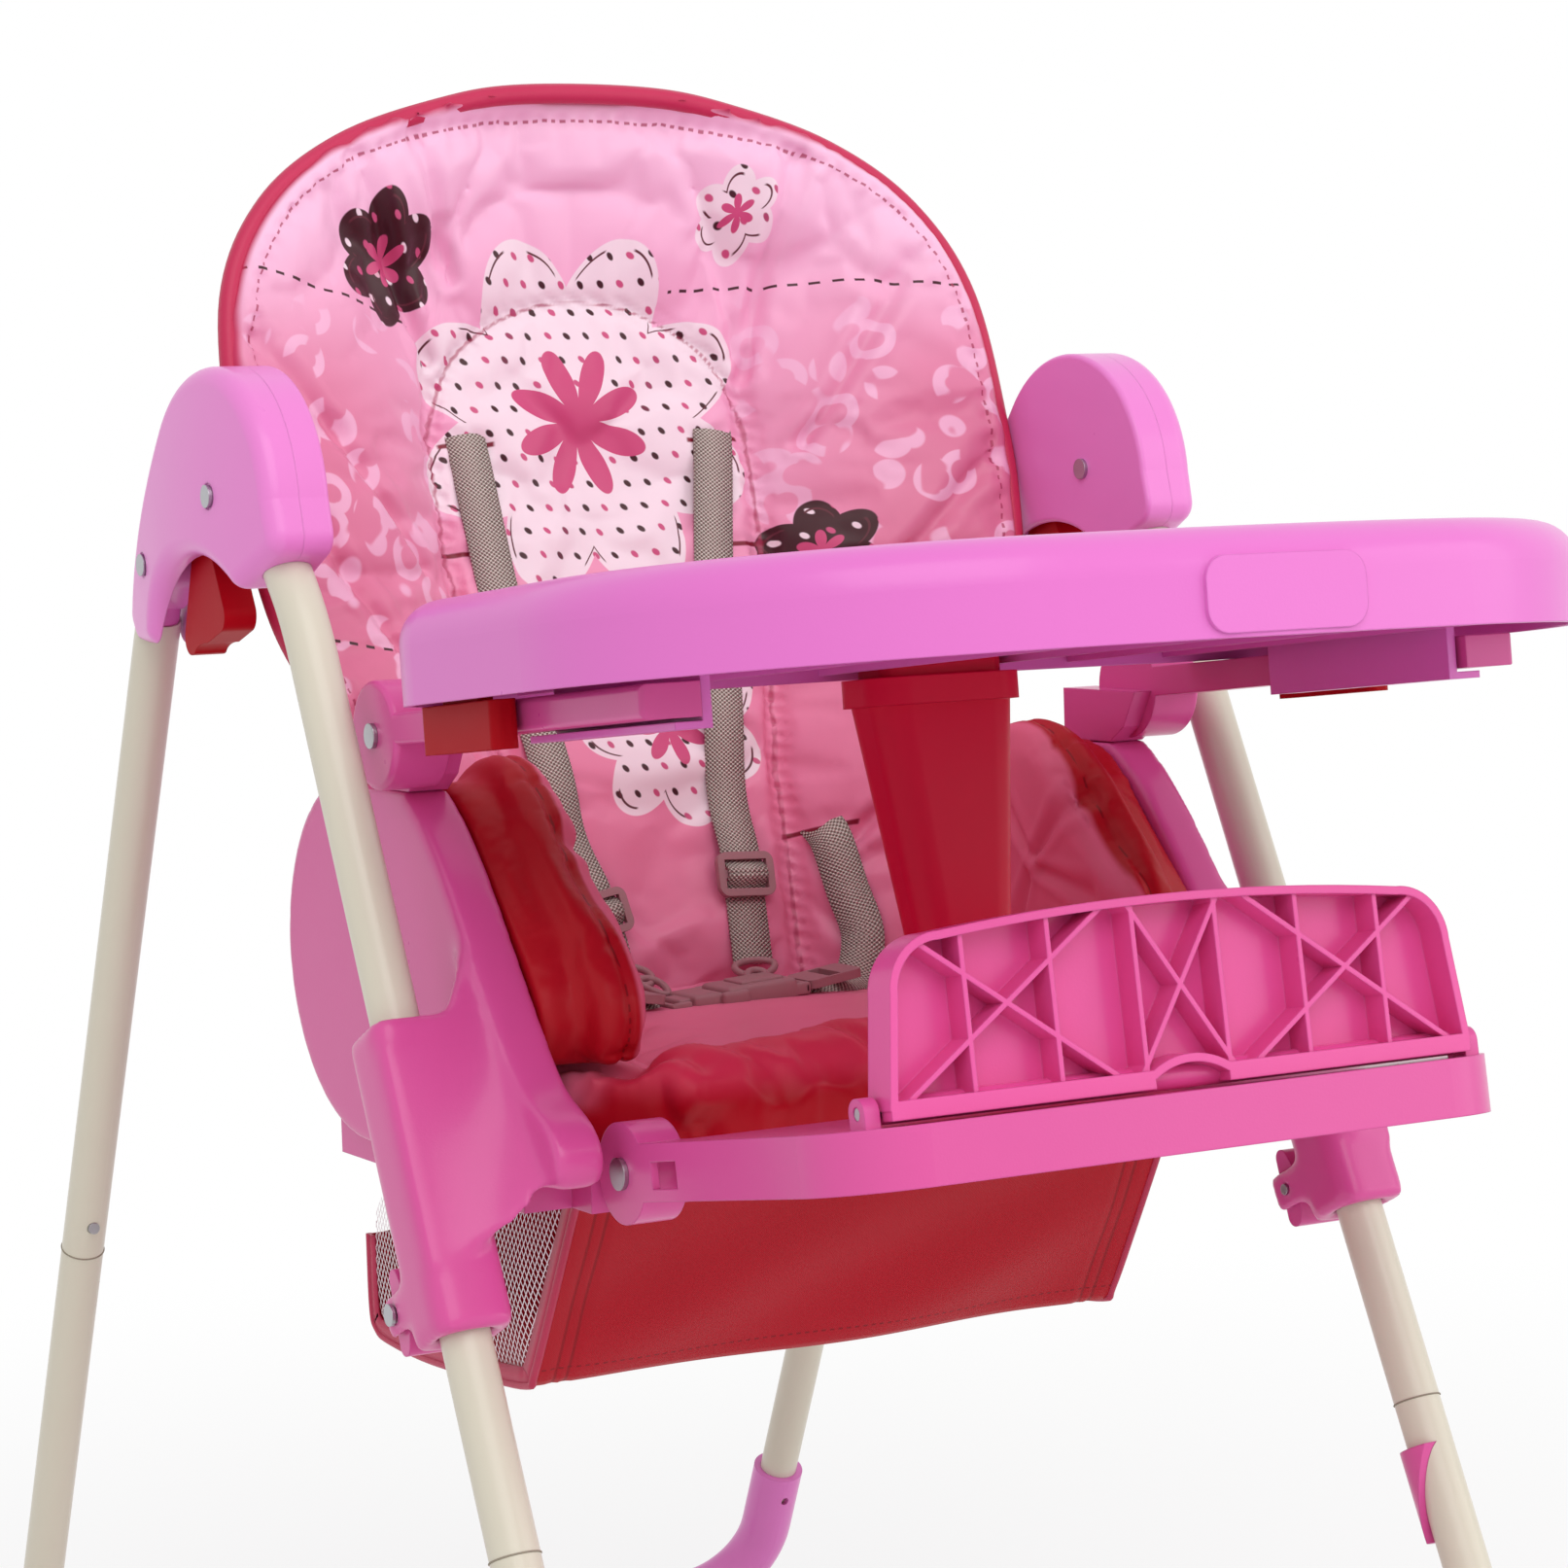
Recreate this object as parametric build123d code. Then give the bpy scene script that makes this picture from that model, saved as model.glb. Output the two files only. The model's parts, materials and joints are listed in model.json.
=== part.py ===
"""Folding baby high chair in millimetres: +Z up, the child faces -Y, +X is the child's left."""
import os
from math import asin, atan2, cos, degrees, hypot, radians, sin, sqrt, tan

from build123d import *

# Frame
TUBE_R = 12.5
TUBE_WALL = 1.2
LEG_X = 266.0            # plane of the legs on each side
FRONT_LEAN = 25.87       # degrees from the vertical
REAR_LEAN = 25.15
BAR_Z = 30.0             # height of the foot crossbars
BAR_Y = 446.7            # crossbars in front of and behind the middle of the feet
FRONT_SEAM_Z = 306.5
REAR_SEAM_Z = 360.0
FIT = 0.05               # radial gap of a seated pin or tube
SLIDE_FIT = 0.3          # gap of a face that runs along another

# Hub
HUB_OUT = 27.0           # outward and inward reach from the leg plane
HUB_IN = 17.0
HUB_WALL = 3.5
DOME_AT = (6.0, 800.0)
HUB_DOME = 620.0         # radius of the outer cover's dome
MAIN_SCREW = (-37.0, 808.0)
FOLD_PIVOT = (72.0, 772.0)
LEVER_PIVOT = (20.0, 786.0)
PIN_R = 4.0

# Seat
WING_X = 216.0           # inner face of the side wings
WING_T = 12.0
PAN_TOP = 470.0
SLEEVE_LOW, SLEEVE_HIGH = 403.0, 545.0
RECLINE_PIVOT = (-8.0, 522.0)
PIN_DEPTH = 9.0          # how deep the recline pins sit in the wings
BACK_LEAN = 15.8
BACK_FOOT = (-52.0, 500.0)
BACK_HALF = 243.0
BACK_HIGH = 553.0

# Tray and arms
TRAY_TILT = 4.8
TRAY_ORIGIN = (-215.0, 703.0)
TRAY_HALF = 275.0
TRAY_HIGH = 50.0
TRAY_WALL = 4.0
TRAY_ROUND = 21.0        # radius of the upper edge
TRAY_RIBS = (-193.0, -117.0, -40.0, 40.0, 117.0, 193.0)
ARM_IN, ARM_OUT = 214.0, 244.0

# Legrest
LEGREST_PIVOT = (-282.0, 476.0)
LEGREST_RISE = 8.8
LEGREST_HALF = 188.0
LEGREST_REACH = 222.0
FOOTPLATE_HALF = 161.0
FOOTPLATE_HIGH = 84.0

# The whole chair is moved so that its box is centred over the origin
DEPTH_SHIFT = 55.436

FRONT_TAN = tan(radians(FRONT_LEAN))
REAR_TAN = tan(radians(REAR_LEAN))


def front_y(z):
    return -BAR_Y + (z - BAR_Z) * FRONT_TAN


def rear_y(z):
    return BAR_Y - (z - BAR_Z) * REAR_TAN


def slab(sketch, x0, x1):
    """A side-view sketch in (y, z) made solid between two planes of X."""
    way = 1 if x1 > x0 else -1
    return extrude(Plane.YZ.offset(x0) * sketch, amount=abs(x1 - x0), dir=(way, 0, 0))


def polygon(*points):
    return make_face(Polyline(*points, close=True).edges())


def rod(x0, x1, centre, radius):
    return slab(Pos(*centre) * Circle(radius), x0, x1)


def pipe(path, radius):
    return sweep(Plane(origin=path @ 0, z_dir=path % 0) * Circle(radius), path=path)


def tilted(origin, degrees_up):
    """Plane with local x across, local y backward and local z up, raised at its front."""
    a = radians(degrees_up)
    return Plane(origin=(0, *origin), x_dir=(1, 0, 0), z_dir=(0, sin(a), cos(a)))


TRAY_PLANE = tilted(TRAY_ORIGIN, TRAY_TILT)
LEGREST_PLANE = tilted(LEGREST_PIVOT, LEGREST_RISE)
LEG_PLANE = Plane(
    origin=(LEG_X, front_y(474.0), 474.0),
    x_dir=(1, 0, 0),
    z_dir=(0, -cos(radians(FRONT_LEAN)), sin(radians(FRONT_LEAN))),
)
BACK_PLANE = Plane(
    origin=(0, *BACK_FOOT),
    x_dir=(1, 0, 0),
    z_dir=(0, -cos(radians(BACK_LEAN)), sin(radians(BACK_LEAN))),
)


def on_plane(plane, sketch, low, high):
    """A sketch on a plane made solid between two heights along its normal."""
    return extrude(plane.offset(low) * sketch, amount=high - low, dir=plane.z_dir)


def both_sides(solid):
    return [solid, mirror(solid, about=Plane.YZ)]


def solids_of(shapes):
    found = []
    for shape in shapes:
        found += list(shape.solids())
    return found


# Legs

def front_path(low_z):
    side = FilletPolyline(
        (front_y(low_z), low_z),
        (front_y(752.0), 752.0),
        (MAIN_SCREW[0] + 14.0, MAIN_SCREW[1] + 13.2),
        radius=170.0,
    )
    return Plane.YZ.offset(LEG_X) * side


def straight(y_at, z0, z1):
    return Line((LEG_X, y_at(z0), z0), (LEG_X, y_at(z1), z1))


def front_upper_tube():
    path = front_path(FRONT_SEAM_Z)
    tube = pipe(path, TUBE_R) - pipe(path, TUBE_R - TUBE_WALL)
    tube -= rod(LEG_X - 30, LEG_X + 30, MAIN_SCREW, PIN_R + FIT)
    button = Pos(LEG_X, front_y(FRONT_SEAM_Z + 30), FRONT_SEAM_Z + 30) * Rot(X=90)
    return tube - button * Cylinder(3.5, 40, align=(Align.CENTER, Align.CENTER, Align.MAX))


def rear_upper_tube():
    path = straight(rear_y, REAR_SEAM_Z, 742.0)
    tube = pipe(path, TUBE_R) - pipe(path, TUBE_R - TUBE_WALL)
    button = Pos(LEG_X, rear_y(REAR_SEAM_Z + 15), REAR_SEAM_Z + 15) * Rot(X=90)
    return tube - button * Cylinder(3.5, 40, align=(Align.CENTER, Align.CENTER, Align.MIN))


def lower_tube(y_at, seam_z):
    """Lower leg with a narrowed neck that plugs into the upper leg."""
    body = straight(y_at, 80.0, seam_z)
    neck = straight(y_at, seam_z - 20.0, seam_z + 60.0)
    neck_r = TUBE_R - TUBE_WALL - FIT
    tube = pipe(body, TUBE_R) + pipe(neck, neck_r)
    return tube - pipe(straight(y_at, 80.0, seam_z + 60.0), neck_r - TUBE_WALL)


def snap_button(y_at, seam_z, up, outward, reach):
    neck_r = TUBE_R - TUBE_WALL - FIT
    z = seam_z + up
    spot = Pos(LEG_X, y_at(z) + outward * neck_r, z) * Rot(X=-90 * outward)
    button = spot * Cylinder(3.4, reach, align=(Align.CENTER, Align.CENTER, Align.MIN))
    return button - pipe(straight(y_at, seam_z, seam_z + 60.0), neck_r + FIT)


def elbow_path(y_at, bar_y):
    return FilletPolyline(
        (LEG_X, y_at(123.0), 123.0), (LEG_X, bar_y, BAR_Z), (186.0, bar_y, BAR_Z), radius=55.0
    )


def elbow(y_at, bar_y):
    body = pipe(elbow_path(y_at, bar_y), TUBE_R + 4.5)
    body -= pipe(straight(y_at, 125.0, 80.0), TUBE_R + FIT)
    body -= pipe(Line((180.0, bar_y, BAR_Z), (208.0, bar_y, BAR_Z)), TUBE_R + FIT)
    screw_y = y_at(100.0)
    toward = -1 if bar_y > 0 else 1
    hole = Pos(LEG_X, screw_y, 100.0) * Rot(X=-90 * toward)
    return body - hole * Cylinder(2.6, 40, align=(Align.CENTER, Align.CENTER, Align.MIN))


def crossbar(bar_y):
    path = Line((-207.5, bar_y, BAR_Z), (207.5, bar_y, BAR_Z))
    return pipe(path, TUBE_R) - pipe(path, TUBE_R - TUBE_WALL)


def foot_pad(y_at, bar_y):
    pad = Pos(214.0, bar_y, 0) * extrude(RectangleRounded(46, 38, 9), amount=24.0)
    pad = fillet(pad.faces().sort_by(Axis.Z)[0].edges(), 3.0)
    return pad - pipe(elbow_path(y_at, bar_y), TUBE_R + 4.5 + FIT)


def leg_clip():
    """Strip that hugs the inner side of the lower front leg and stops the sleeve."""
    path = straight(front_y, 240.0, 284.0)
    ring = pipe(path, TUBE_R + 4.5) - pipe(path, TUBE_R + FIT)
    return ring & Pos(LEG_X - 12.0, front_y(262.0) + 20.0, 262.0) * Box(24, 40, 90)


# Hubs

def hub_outline():
    face = make_face(
        [
            Line((-106, 780), (-56, 758)),
            ThreePointArc((-56, 758), (5, 777), (74, 728)),
            Line((74, 728), (112, 727)),
            Line((112, 727), (125, 744)),
            Line((125, 744), (40, 845)),
            ThreePointArc((40, 845), (-29, 875), (-99, 806)),
            Line((-99, 806), (-106, 780)),
        ]
    )
    corners = face.vertices().sort_by(Axis.Y)[:5]
    return fillet(corners, 12.0)


def hub_cavity():
    inset = offset(hub_outline(), amount=-HUB_WALL)
    mouth = polygon((-30, 740), (-30, 790), (62, 790), (120, 768), (137, 742), (128, 715), (0, 715))
    leg_seat = polygon((-112, 782), (-58, 752), (-6, 806), (-44, 842))
    return inset + mouth - leg_seat


def head_seat(centre):
    """Across place of a screw head's seat, sunk a little into the dome."""
    off = hypot(centre[0] - DOME_AT[0], centre[1] - DOME_AT[1])
    return LEG_X + HUB_OUT - HUB_DOME + sqrt(HUB_DOME**2 - off**2) - 0.8


def hub_shell(depth, cavity, sign):
    """Cover from the leg plane outward with a dome (sign 1) or inward (sign -1)."""
    shell = slab(hub_outline(), LEG_X, LEG_X + sign * depth)
    if sign > 0:
        shell &= Pos(LEG_X + depth - HUB_DOME, *DOME_AT) * Sphere(HUB_DOME)
    rim = shell.faces().sort_by(Axis.X)[-1 if sign > 0 else 0].edges()
    shell = fillet(rim, 10.0 if sign > 0 else 3.0)
    shell -= slab(hub_cavity(), LEG_X, LEG_X + sign * cavity)
    shell += rod(LEG_X + sign * 10.4, LEG_X + sign * (cavity + 1), FOLD_PIVOT, 8.0)
    shell += rod(LEG_X + sign * 9.4, LEG_X + sign * (cavity + 1), LEVER_PIVOT, 7.0)
    shell -= pipe(front_path(600.0), TUBE_R + FIT)
    for centre in (MAIN_SCREW, FOLD_PIVOT):
        shell -= rod(LEG_X - 40, LEG_X + 40, centre, PIN_R + FIT)
        if sign > 0:
            shell -= rod(head_seat(centre), LEG_X + 40, centre, 7.0)
    shell -= rod(LEG_X - 13, LEG_X + 13, LEVER_PIVOT, 3.0 + FIT)
    return shell


def screw(centre, x0, x1):
    """Pin with a domed head on its outer end and a washer on its inner end."""
    pin = rod(x0, x1, centre, PIN_R)
    pin += rod(x1, x1 + 2.6, centre, 6.0)
    pin += rod(x0 - 2.0, x0, centre, 6.0)
    return pin


def knuckle():
    """Link between the rear tube's plugged top and its pivot in the hub."""
    link = make_hull((Pos(*FOLD_PIVOT) * Circle(14) + Pos(101, 757) * Circle(10.5)).edges())
    body = slab(link, LEG_X - 9.5, LEG_X + 9.5)
    plug = pipe(straight(rear_y, 700.0, 757.0), TUBE_R - TUBE_WALL - FIT)
    return body + plug - rod(LEG_X - 30, LEG_X + 30, FOLD_PIVOT, PIN_R + FIT)


def fold_lever():
    pads = Pos(*LEVER_PIVOT) * Circle(9) + Pos(-2, 745) * Circle(9) + Pos(40, 732) * Circle(9)
    body = slab(make_hull(pads.edges()), LEG_X - 9, LEG_X + 9)
    grip = slab(Pos(16, 722) * Ellipse(20, 8), LEG_X - 20, LEG_X + 20)
    return body - grip - rod(LEG_X - 20, LEG_X + 20, LEVER_PIVOT, 3.0 + FIT)


def lever_pin():
    return rod(LEG_X - 12.5, LEG_X + 12.5, LEVER_PIVOT, 3.0)


# Seat carriage

def tray_yz(back, up):
    """Side-view place of a point given behind and above the tray's origin, in its tilt."""
    a = radians(TRAY_TILT)
    return (
        TRAY_ORIGIN[0] + back * cos(a) + up * sin(a),
        TRAY_ORIGIN[1] - back * sin(a) + up * cos(a),
    )


POST_IN, POST_OUT = 201.0, 228.0   # inner and outer face of the arm post
POST_TOP = ((-128.0, 655.0), (-82.0, 655.0))


def arm_post():
    """Leaning band with a rounded front that carries the arm and ends in a round nose."""
    front = Spline(
        POST_TOP[0], (-194, 590), (-236, 537), (-262, 513), (-283, 503), (-294, 490), (-288, 472)
    )
    foot = Line((-288, 472), (-224, 471))
    rear = [Line((-224, 471), (-205, 520)), Line((-205, 520), POST_TOP[1]), Line(POST_TOP[1], POST_TOP[0])]
    band = slab(make_face([front, foot] + rear), POST_IN, POST_OUT)
    across = band.faces().sort_by(Axis.X)
    edges = [e for e in across[0].edges() + across[-1].edges() if e.center().Y < -220]
    return fillet(edges, 7.0)


def side_panel():
    """One moulding: wing with a rounded rear lobe, leaning arm post, web and sleeve on the leg."""
    back_top = POST_TOP[1]
    wing = make_face(
        [
            Line((-240, 466), (-58, 466)),
            ThreePointArc((-58, 466), (38, 572), (-24, 655)),
            Line((-24, 655), (back_top[0] - 20, 655)),
            Line((back_top[0] - 20, 655), (-208, 540)),
            Line((-208, 540), (-240, 466)),
        ]
    )
    plate = slab(wing, WING_X, WING_X + WING_T)
    panel = fillet(plate.faces().sort_by(Axis.X)[-1].edges(), 3.0)
    panel += arm_post()
    panel += loft([web_section(*station) for station in WEB_STATIONS])
    panel += sleeve()
    panel -= pipe(straight(front_y, 300.0, 700.0), TUBE_R + SLIDE_FIT)
    return panel - rod(WING_X - 5, WING_X + PIN_DEPTH + 0.5, RECLINE_PIVOT, 5.0 + FIT)


# Web between post and sleeve: across place, then its front at the low and at the high end
WEB_STATIONS = (
    (224.0, (-283.0, 482.0), (-184.0, 592.0)),
    (238.0, (-281.0, 464.0), (-208.0, 566.0)),
    (252.0, (-276.0, 452.0), (-220.0, 550.0)),
    (286.5, (-272.4, 440.0), (-222.4, 543.0)),
)


def web_section(x, low, high):
    strip = polygon(low, high, (high[0] + 9.0, high[1]), (low[0] + 9.0, low[1]))
    return Plane.YZ.offset(x) * strip


def along_leg(z):
    return (z - 474.0) / cos(radians(FRONT_LEAN))


HEIGHT_PIN = (-32.5, -55.0)   # behind the leg's axis and along it


def sleeve():
    low, high = along_leg(SLEEVE_LOW), along_leg(SLEEVE_HIGH)
    base = Plane(LEG_PLANE.location * Location((0, low, 0)) * Location((0, 0, 0), (-90, 0, 0)))
    body = extrude(base * RectangleRounded(42, 44, 11), amount=high - low)
    ear = RectangleRounded(22, 30, 6)
    side = Plane(LEG_PLANE.location * Location((0, HEIGHT_PIN[1], HEIGHT_PIN[0] + 2), (0, 90, 0)))
    for x in (-21.0, 15.5):
        body += extrude(side.offset(x) * Rot(Z=90) * ear, amount=5.5)
    return body - height_axis(3.0 + FIT, -22.0, 22.0)


def height_axis(radius, x0, x1):
    side = Plane(LEG_PLANE.location * Location((0, HEIGHT_PIN[1], HEIGHT_PIN[0]), (0, 90, 0)))
    return extrude(side.offset(x0) * Circle(radius), amount=x1 - x0)


def height_lever():
    """Squeeze lever behind the sleeve, turning on a rivet between the sleeve's ears."""
    side = Plane(LEG_PLANE.location * Location((0, HEIGHT_PIN[1], HEIGHT_PIN[0]), (0, 90, 0)))
    pads = Circle(8) + Pos(3, 18) * Circle(5) + Pos(6, -14) * Circle(6)
    body = extrude(side.offset(-15.0) * make_hull(pads.edges()), amount=30.0)
    return body - height_axis(3.0 + FIT, -22.0, 22.0)


def height_rivet():
    return height_axis(3.0, -21.5, 21.5) + height_axis(5.5, 21.0, 23.0)


def seat_pan():
    plan = Pos(0, 15) * Rectangle(2 * WING_X, 230) + Pos(0, 4) * Rectangle(380, 252)
    plate = Pos(0, -130, PAN_TOP - 18) * extrude(plan, amount=18)
    hollow = offset(plan, amount=-4)
    plate -= Pos(0, -130, PAN_TOP - 18) * extrude(hollow, amount=14)
    for x in (-144.0, -72.0, 0.0, 72.0, 144.0):
        plate += Pos(x, -115, PAN_TOP - 17) * Box(3, 226, 14, align=(Align.CENTER, Align.CENTER, Align.MIN))
    lug = make_hull((Pos(*LEGREST_PIVOT) * Circle(13) + Pos(-252, 458) * Circle(6)).edges())
    for x0 in (149.0, -162.0):
        plate += slab(lug, x0, x0 + 13.0)
    return plate - rod(-200, 200, LEGREST_PIVOT, 5.0 + FIT)


def seat_cushion():
    """Dished pad with two sewn channels, drawn-in sides and a thick front roll."""
    base = PAN_TOP + 0.5
    crown = make_face(
        [
            Line((-196, base), (196, base)),
            ThreePointArc((196, base), (203, base + 18), (194, base + 38)),
            ThreePointArc((194, base + 38), (160, base + 47), (126, base + 40)),
            Line((126, base + 40), (120, base + 33)),
            Line((120, base + 33), (114, base + 39)),
            ThreePointArc((114, base + 39), (0, base + 43), (-114, base + 39)),
            Line((-114, base + 39), (-120, base + 33)),
            Line((-120, base + 33), (-126, base + 40)),
            ThreePointArc((-126, base + 40), (-160, base + 47), (-194, base + 38)),
            ThreePointArc((-194, base + 38), (-203, base + 18), (-196, base)),
        ]
    )
    body = extrude(Plane.XZ * crown, amount=300)
    plan = make_face(
        [
            ThreePointArc((-112, -273), (0, -278), (112, -273)),
            ThreePointArc((112, -273), (152, -251), (184, -210)),
            ThreePointArc((184, -210), (185, -120), (193, -28)),
            Line((193, -28), (-193, -28)),
            ThreePointArc((-193, -28), (-185, -120), (-184, -210)),
            ThreePointArc((-184, -210), (-152, -251), (-112, -273)),
        ]
    )
    body &= extrude(plan, amount=600)
    roll = make_face(
        [
            Line((0, base - 2), (-262, base - 2)),
            ThreePointArc((-262, base - 2), (-279, base + 20), (-240, base + 43)),
            ThreePointArc((-240, base + 43), (-150, base + 52), (0, base + 58)),
            Line((0, base + 58), (0, base - 2)),
        ]
    )
    body &= slab(roll, -300, 300)
    bar = slab(Pos(-246, base + 37) * Ellipse(26, 20), -149, 149)
    ends = bar.faces().sort_by(Axis.X)
    return body + fillet(ends[0].edges() + ends[-1].edges(), 12.0)


def bolster_side(rear_top, top, middle, nose, toe):
    """Side view of a bolster layer: flat foot, round top and a front edge that slopes down."""
    foot = 520.5
    front = Spline((-60, rear_top), (-84, top[1] - 7), top, middle, nose, (toe, foot))
    return make_face([Line((-60, foot), (-60, rear_top)), front, Line((toe, foot), (-60, foot))])


def side_bolster():
    """Thick pad beside the child on a thinner layer that lines the arm post."""
    pad = slab(bolster_side(628, (-120, 668), (-190, 616), (-246, 540), -237), 150.5, 178.0)
    across = pad.faces().sort_by(Axis.X)
    pad = fillet(across[0].edges() + across[-1].edges(), 10.0)
    return pad + slab(bolster_side(616, (-116, 656), (-182, 602), (-226, 540), -218), 168.0, 200.5)


def armrest():
    """Bar under the tray with a round rear end and a short neck down to the arm post."""
    bar = Rectangle(312, 16.0)
    side = Pos(*tray_yz(-59, -8.8)) * Rot(Z=-TRAY_TILT) * bar
    side += Pos(*tray_yz(86, -11)) * Circle(28)
    front, back = POST_TOP
    neck = polygon(front, back, (back[0], 684.0), (front[0] - 26, 684.0), (front[0] - 14, 664.0))
    body = slab(side, ARM_IN, ARM_OUT) + slab(neck, POST_IN + 2, POST_OUT - 3)
    outer = body.faces().sort_by(Axis.X)[-1].edges()
    body = fillet(outer, 3.0)
    return body - rod(ARM_IN + 10, ARM_OUT + 5, tray_yz(86, -11), 4.0 + FIT)


def armrest_rivet():
    centre = tray_yz(86, -11)
    return rod(ARM_IN + 11, ARM_OUT + 0.5, centre, 4.0) + rod(ARM_OUT + 0.1, ARM_OUT + 2.4, centre, 6.5)


def basket():
    """Bag hung under the pan: sloping front panel, sides and a low rear wall, open behind."""
    top = PAN_TOP - 18
    outer = polygon((-214, top), (-150, 346), (36, 336), (58, 344), (58, 396), (10, top))
    inner = polygon((-208, top + 1), (-147, 350), (35, 340), (54, 347), (54, top + 1))
    return slab(outer, -180, 180) - slab(inner, -176.5, 176.5)


# Backrest

# Half-width and dish depth of the back at heights above its foot
BACK_STATIONS = (
    (30, 188, 1.0),
    (70, 194, 1.0),
    (115, 199, 1.0),
    (160, 203, 1.0),
    (200, 215, 1.0),
    (245, 233, 1.0),
    (295, 241, 1.0),
    (345, BACK_HALF, 1.0),
    (430, 236, 0.88),
    (485, 206, 0.62),
    (522, 156, 0.36),
    (544, 92, 0.14),
    (BACK_HIGH, 40, 0.04),
)
DISH = 63.0              # how far the middle of the back lies behind its rim
HANDLE_AT = 440.0        # recline handle up the back and behind its rim
HANDLE_N = -112.0


def across_back(up):
    """Cross-section plane at a height on the back: local x across, local y forward."""
    a = radians(BACK_LEAN)
    origin = (0, BACK_FOOT[0] + up * sin(a), BACK_FOOT[1] + up * cos(a))
    return Plane(origin=origin, x_dir=(1, 0, 0), z_dir=(0, -sin(a), -cos(a)))


def cushion_section(up, half, dish):
    """Flat middle, a sewn channel on each side and bolsters that roll forward to the rim."""
    def side(s):
        return [
            Line((s * 0.39 * half, -0.89 * DISH * dish), (s * 0.42 * half, -0.89 * DISH * dish - 7)),
            Line((s * 0.42 * half, -0.89 * DISH * dish - 7), (s * 0.45 * half, -0.82 * DISH * dish)),
            ThreePointArc(
                (s * 0.45 * half, -0.82 * DISH * dish),
                (s * 0.75 * half, -0.12 * DISH * dish + 2),
                (s * (half - 9), 12),
            ),
            ThreePointArc((s * (half - 9), 12), (s * half, 2), (s * (half - 5), -14)),
        ]

    middle = ThreePointArc(
        (-0.39 * half, -0.89 * DISH * dish), (0, -DISH * dish), (0.39 * half, -0.89 * DISH * dish)
    )
    rear = ThreePointArc((half - 5, -14), (0, -18 - 76 * dish), (5 - half, -14))
    return across_back(up) * make_face([middle, rear] + side(1) + side(-1))


def shell_section(up, half, dish):
    wide = half - 8
    face = make_face(
        [
            ThreePointArc((-wide, -18), (0, -21 - 77 * dish), (wide, -18)),
            Line((wide, -18), (wide - 4, -26)),
            ThreePointArc((wide - 4, -26), (0, -29 - 78 * dish), (4 - wide, -26)),
            Line((4 - wide, -26), (-wide, -18)),
        ]
    )
    return across_back(up) * face


def back_cushion():
    return loft([cushion_section(*station) for station in BACK_STATIONS])


def back_shell():
    shell = loft([shell_section(*station) for station in BACK_STATIONS])
    side = make_hull((Pos(*RECLINE_PIVOT) * Circle(12) + Pos(10, 588) * Circle(15)).edges())
    for ear in both_sides(slab(side, 176.0, 214.0) - Pos(0, 1.5, 0) * back_cushion()):
        shell += ear
    for x0 in (-60.0, 51.0):
        lug = Circle(6) + Pos(-12, 0) * Rectangle(24, 12)
        shell += extrude(handle_plane().offset(x0) * lug, amount=9)
    shell -= extrude(handle_plane().offset(-70) * Circle(3 + FIT), amount=140)
    return shell - rod(-230, 230, RECLINE_PIVOT, 5.0 + FIT)


def recline_pin():
    return rod(200.0, WING_X + PIN_DEPTH, RECLINE_PIVOT, 5.0)


def handle_plane():
    """Side plane of the recline handle's axis: local x backward, local y up the back."""
    return Plane(BACK_PLANE.location * Location((0, HANDLE_AT, HANDLE_N), (0, 90, 0)))


def recline_handle():
    bar = handle_plane()
    pads = Circle(6) + Pos(9, 42) * Circle(5)
    body = extrude(bar.offset(-50) * make_hull(pads.edges()), amount=100)
    return body - extrude(bar.offset(-60) * Circle(3 + FIT), amount=120)


def handle_rod():
    return extrude(handle_plane().offset(-60) * Circle(3), amount=120)


# Harness

STRAP_W, STRAP_T = 25.0, 1.6


def strap(points, across):
    """Flat webbing through points, its width along a given direction."""
    path = Polyline(*points)
    start = Plane(origin=path @ 0, x_dir=across, z_dir=path % 0)
    return sweep(start * Rectangle(STRAP_W, STRAP_T), path=path, transition=Transition.RIGHT)


def back_point(x, up, n):
    return (BACK_PLANE * Pos(x, up, n)).position


# Shoulder straps: across, up and in front of the back's plane
STRAP_ROUTES = (
    ((80, 365, -52), (66, 280, -53), (53, 202, -53), (50, 156, -53), (48, 98, -51), (44.5, 46, -48)),
    ((-80, 365, -52), (-74, 260, -53), (-63.5, 169, -53), (-57, 129, -52), (-46.5, 80, -51), (-44, 52, -48)),
)
# Strap sliders: across, up, and their turn along the strap
SLIDERS = ((48.0, 98.0, -2.8), (-47.5, 82.0, 9.6))


def shoulder_strap(route):
    return strap([tuple(back_point(*place)) for place in route], (1, 0, 0))


def strap_slider(x, up, turn):
    """Rounded frame with two slots and a bar that the webbing passes over."""
    slot = Rectangle(27, 6)
    face = RectangleRounded(36, 26, 6) - Pos(0, 5.5) * slot - Pos(0, -5.5) * slot
    spot = BACK_PLANE.location * Location((x, up, -48.6), (0, 0, turn))
    return extrude(Plane(spot) * face, amount=4.0)


def waist_strap():
    points = [(126, -40, 556), (108, -44, 540), (76, -44, 523), (46, -44, 520)]
    return strap(points, (0, 1, 0))


def crotch_strap():
    points = [(0, -118, 516.5), (0, -88, 518), (0, -62, 520)]
    return strap(points, (1, 0, 0))


def buckle():
    body = Pos(0, -44, 515) * extrude(RectangleRounded(88, 34, 9), amount=13)
    body = fillet(body.faces().sort_by(Axis.Z)[-1].edges(), 4.0)
    for x in (-33, 33):
        body -= Pos(x, -44, 524) * Box(4, 20, 12)
    return body


def adjuster():
    frame = RectangleRounded(34, 30, 4) - Rectangle(8, 26)
    return Pos(62.5, -44, 524.8) * Rot(Y=-8) * extrude(frame, amount=5)


# Tray

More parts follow.
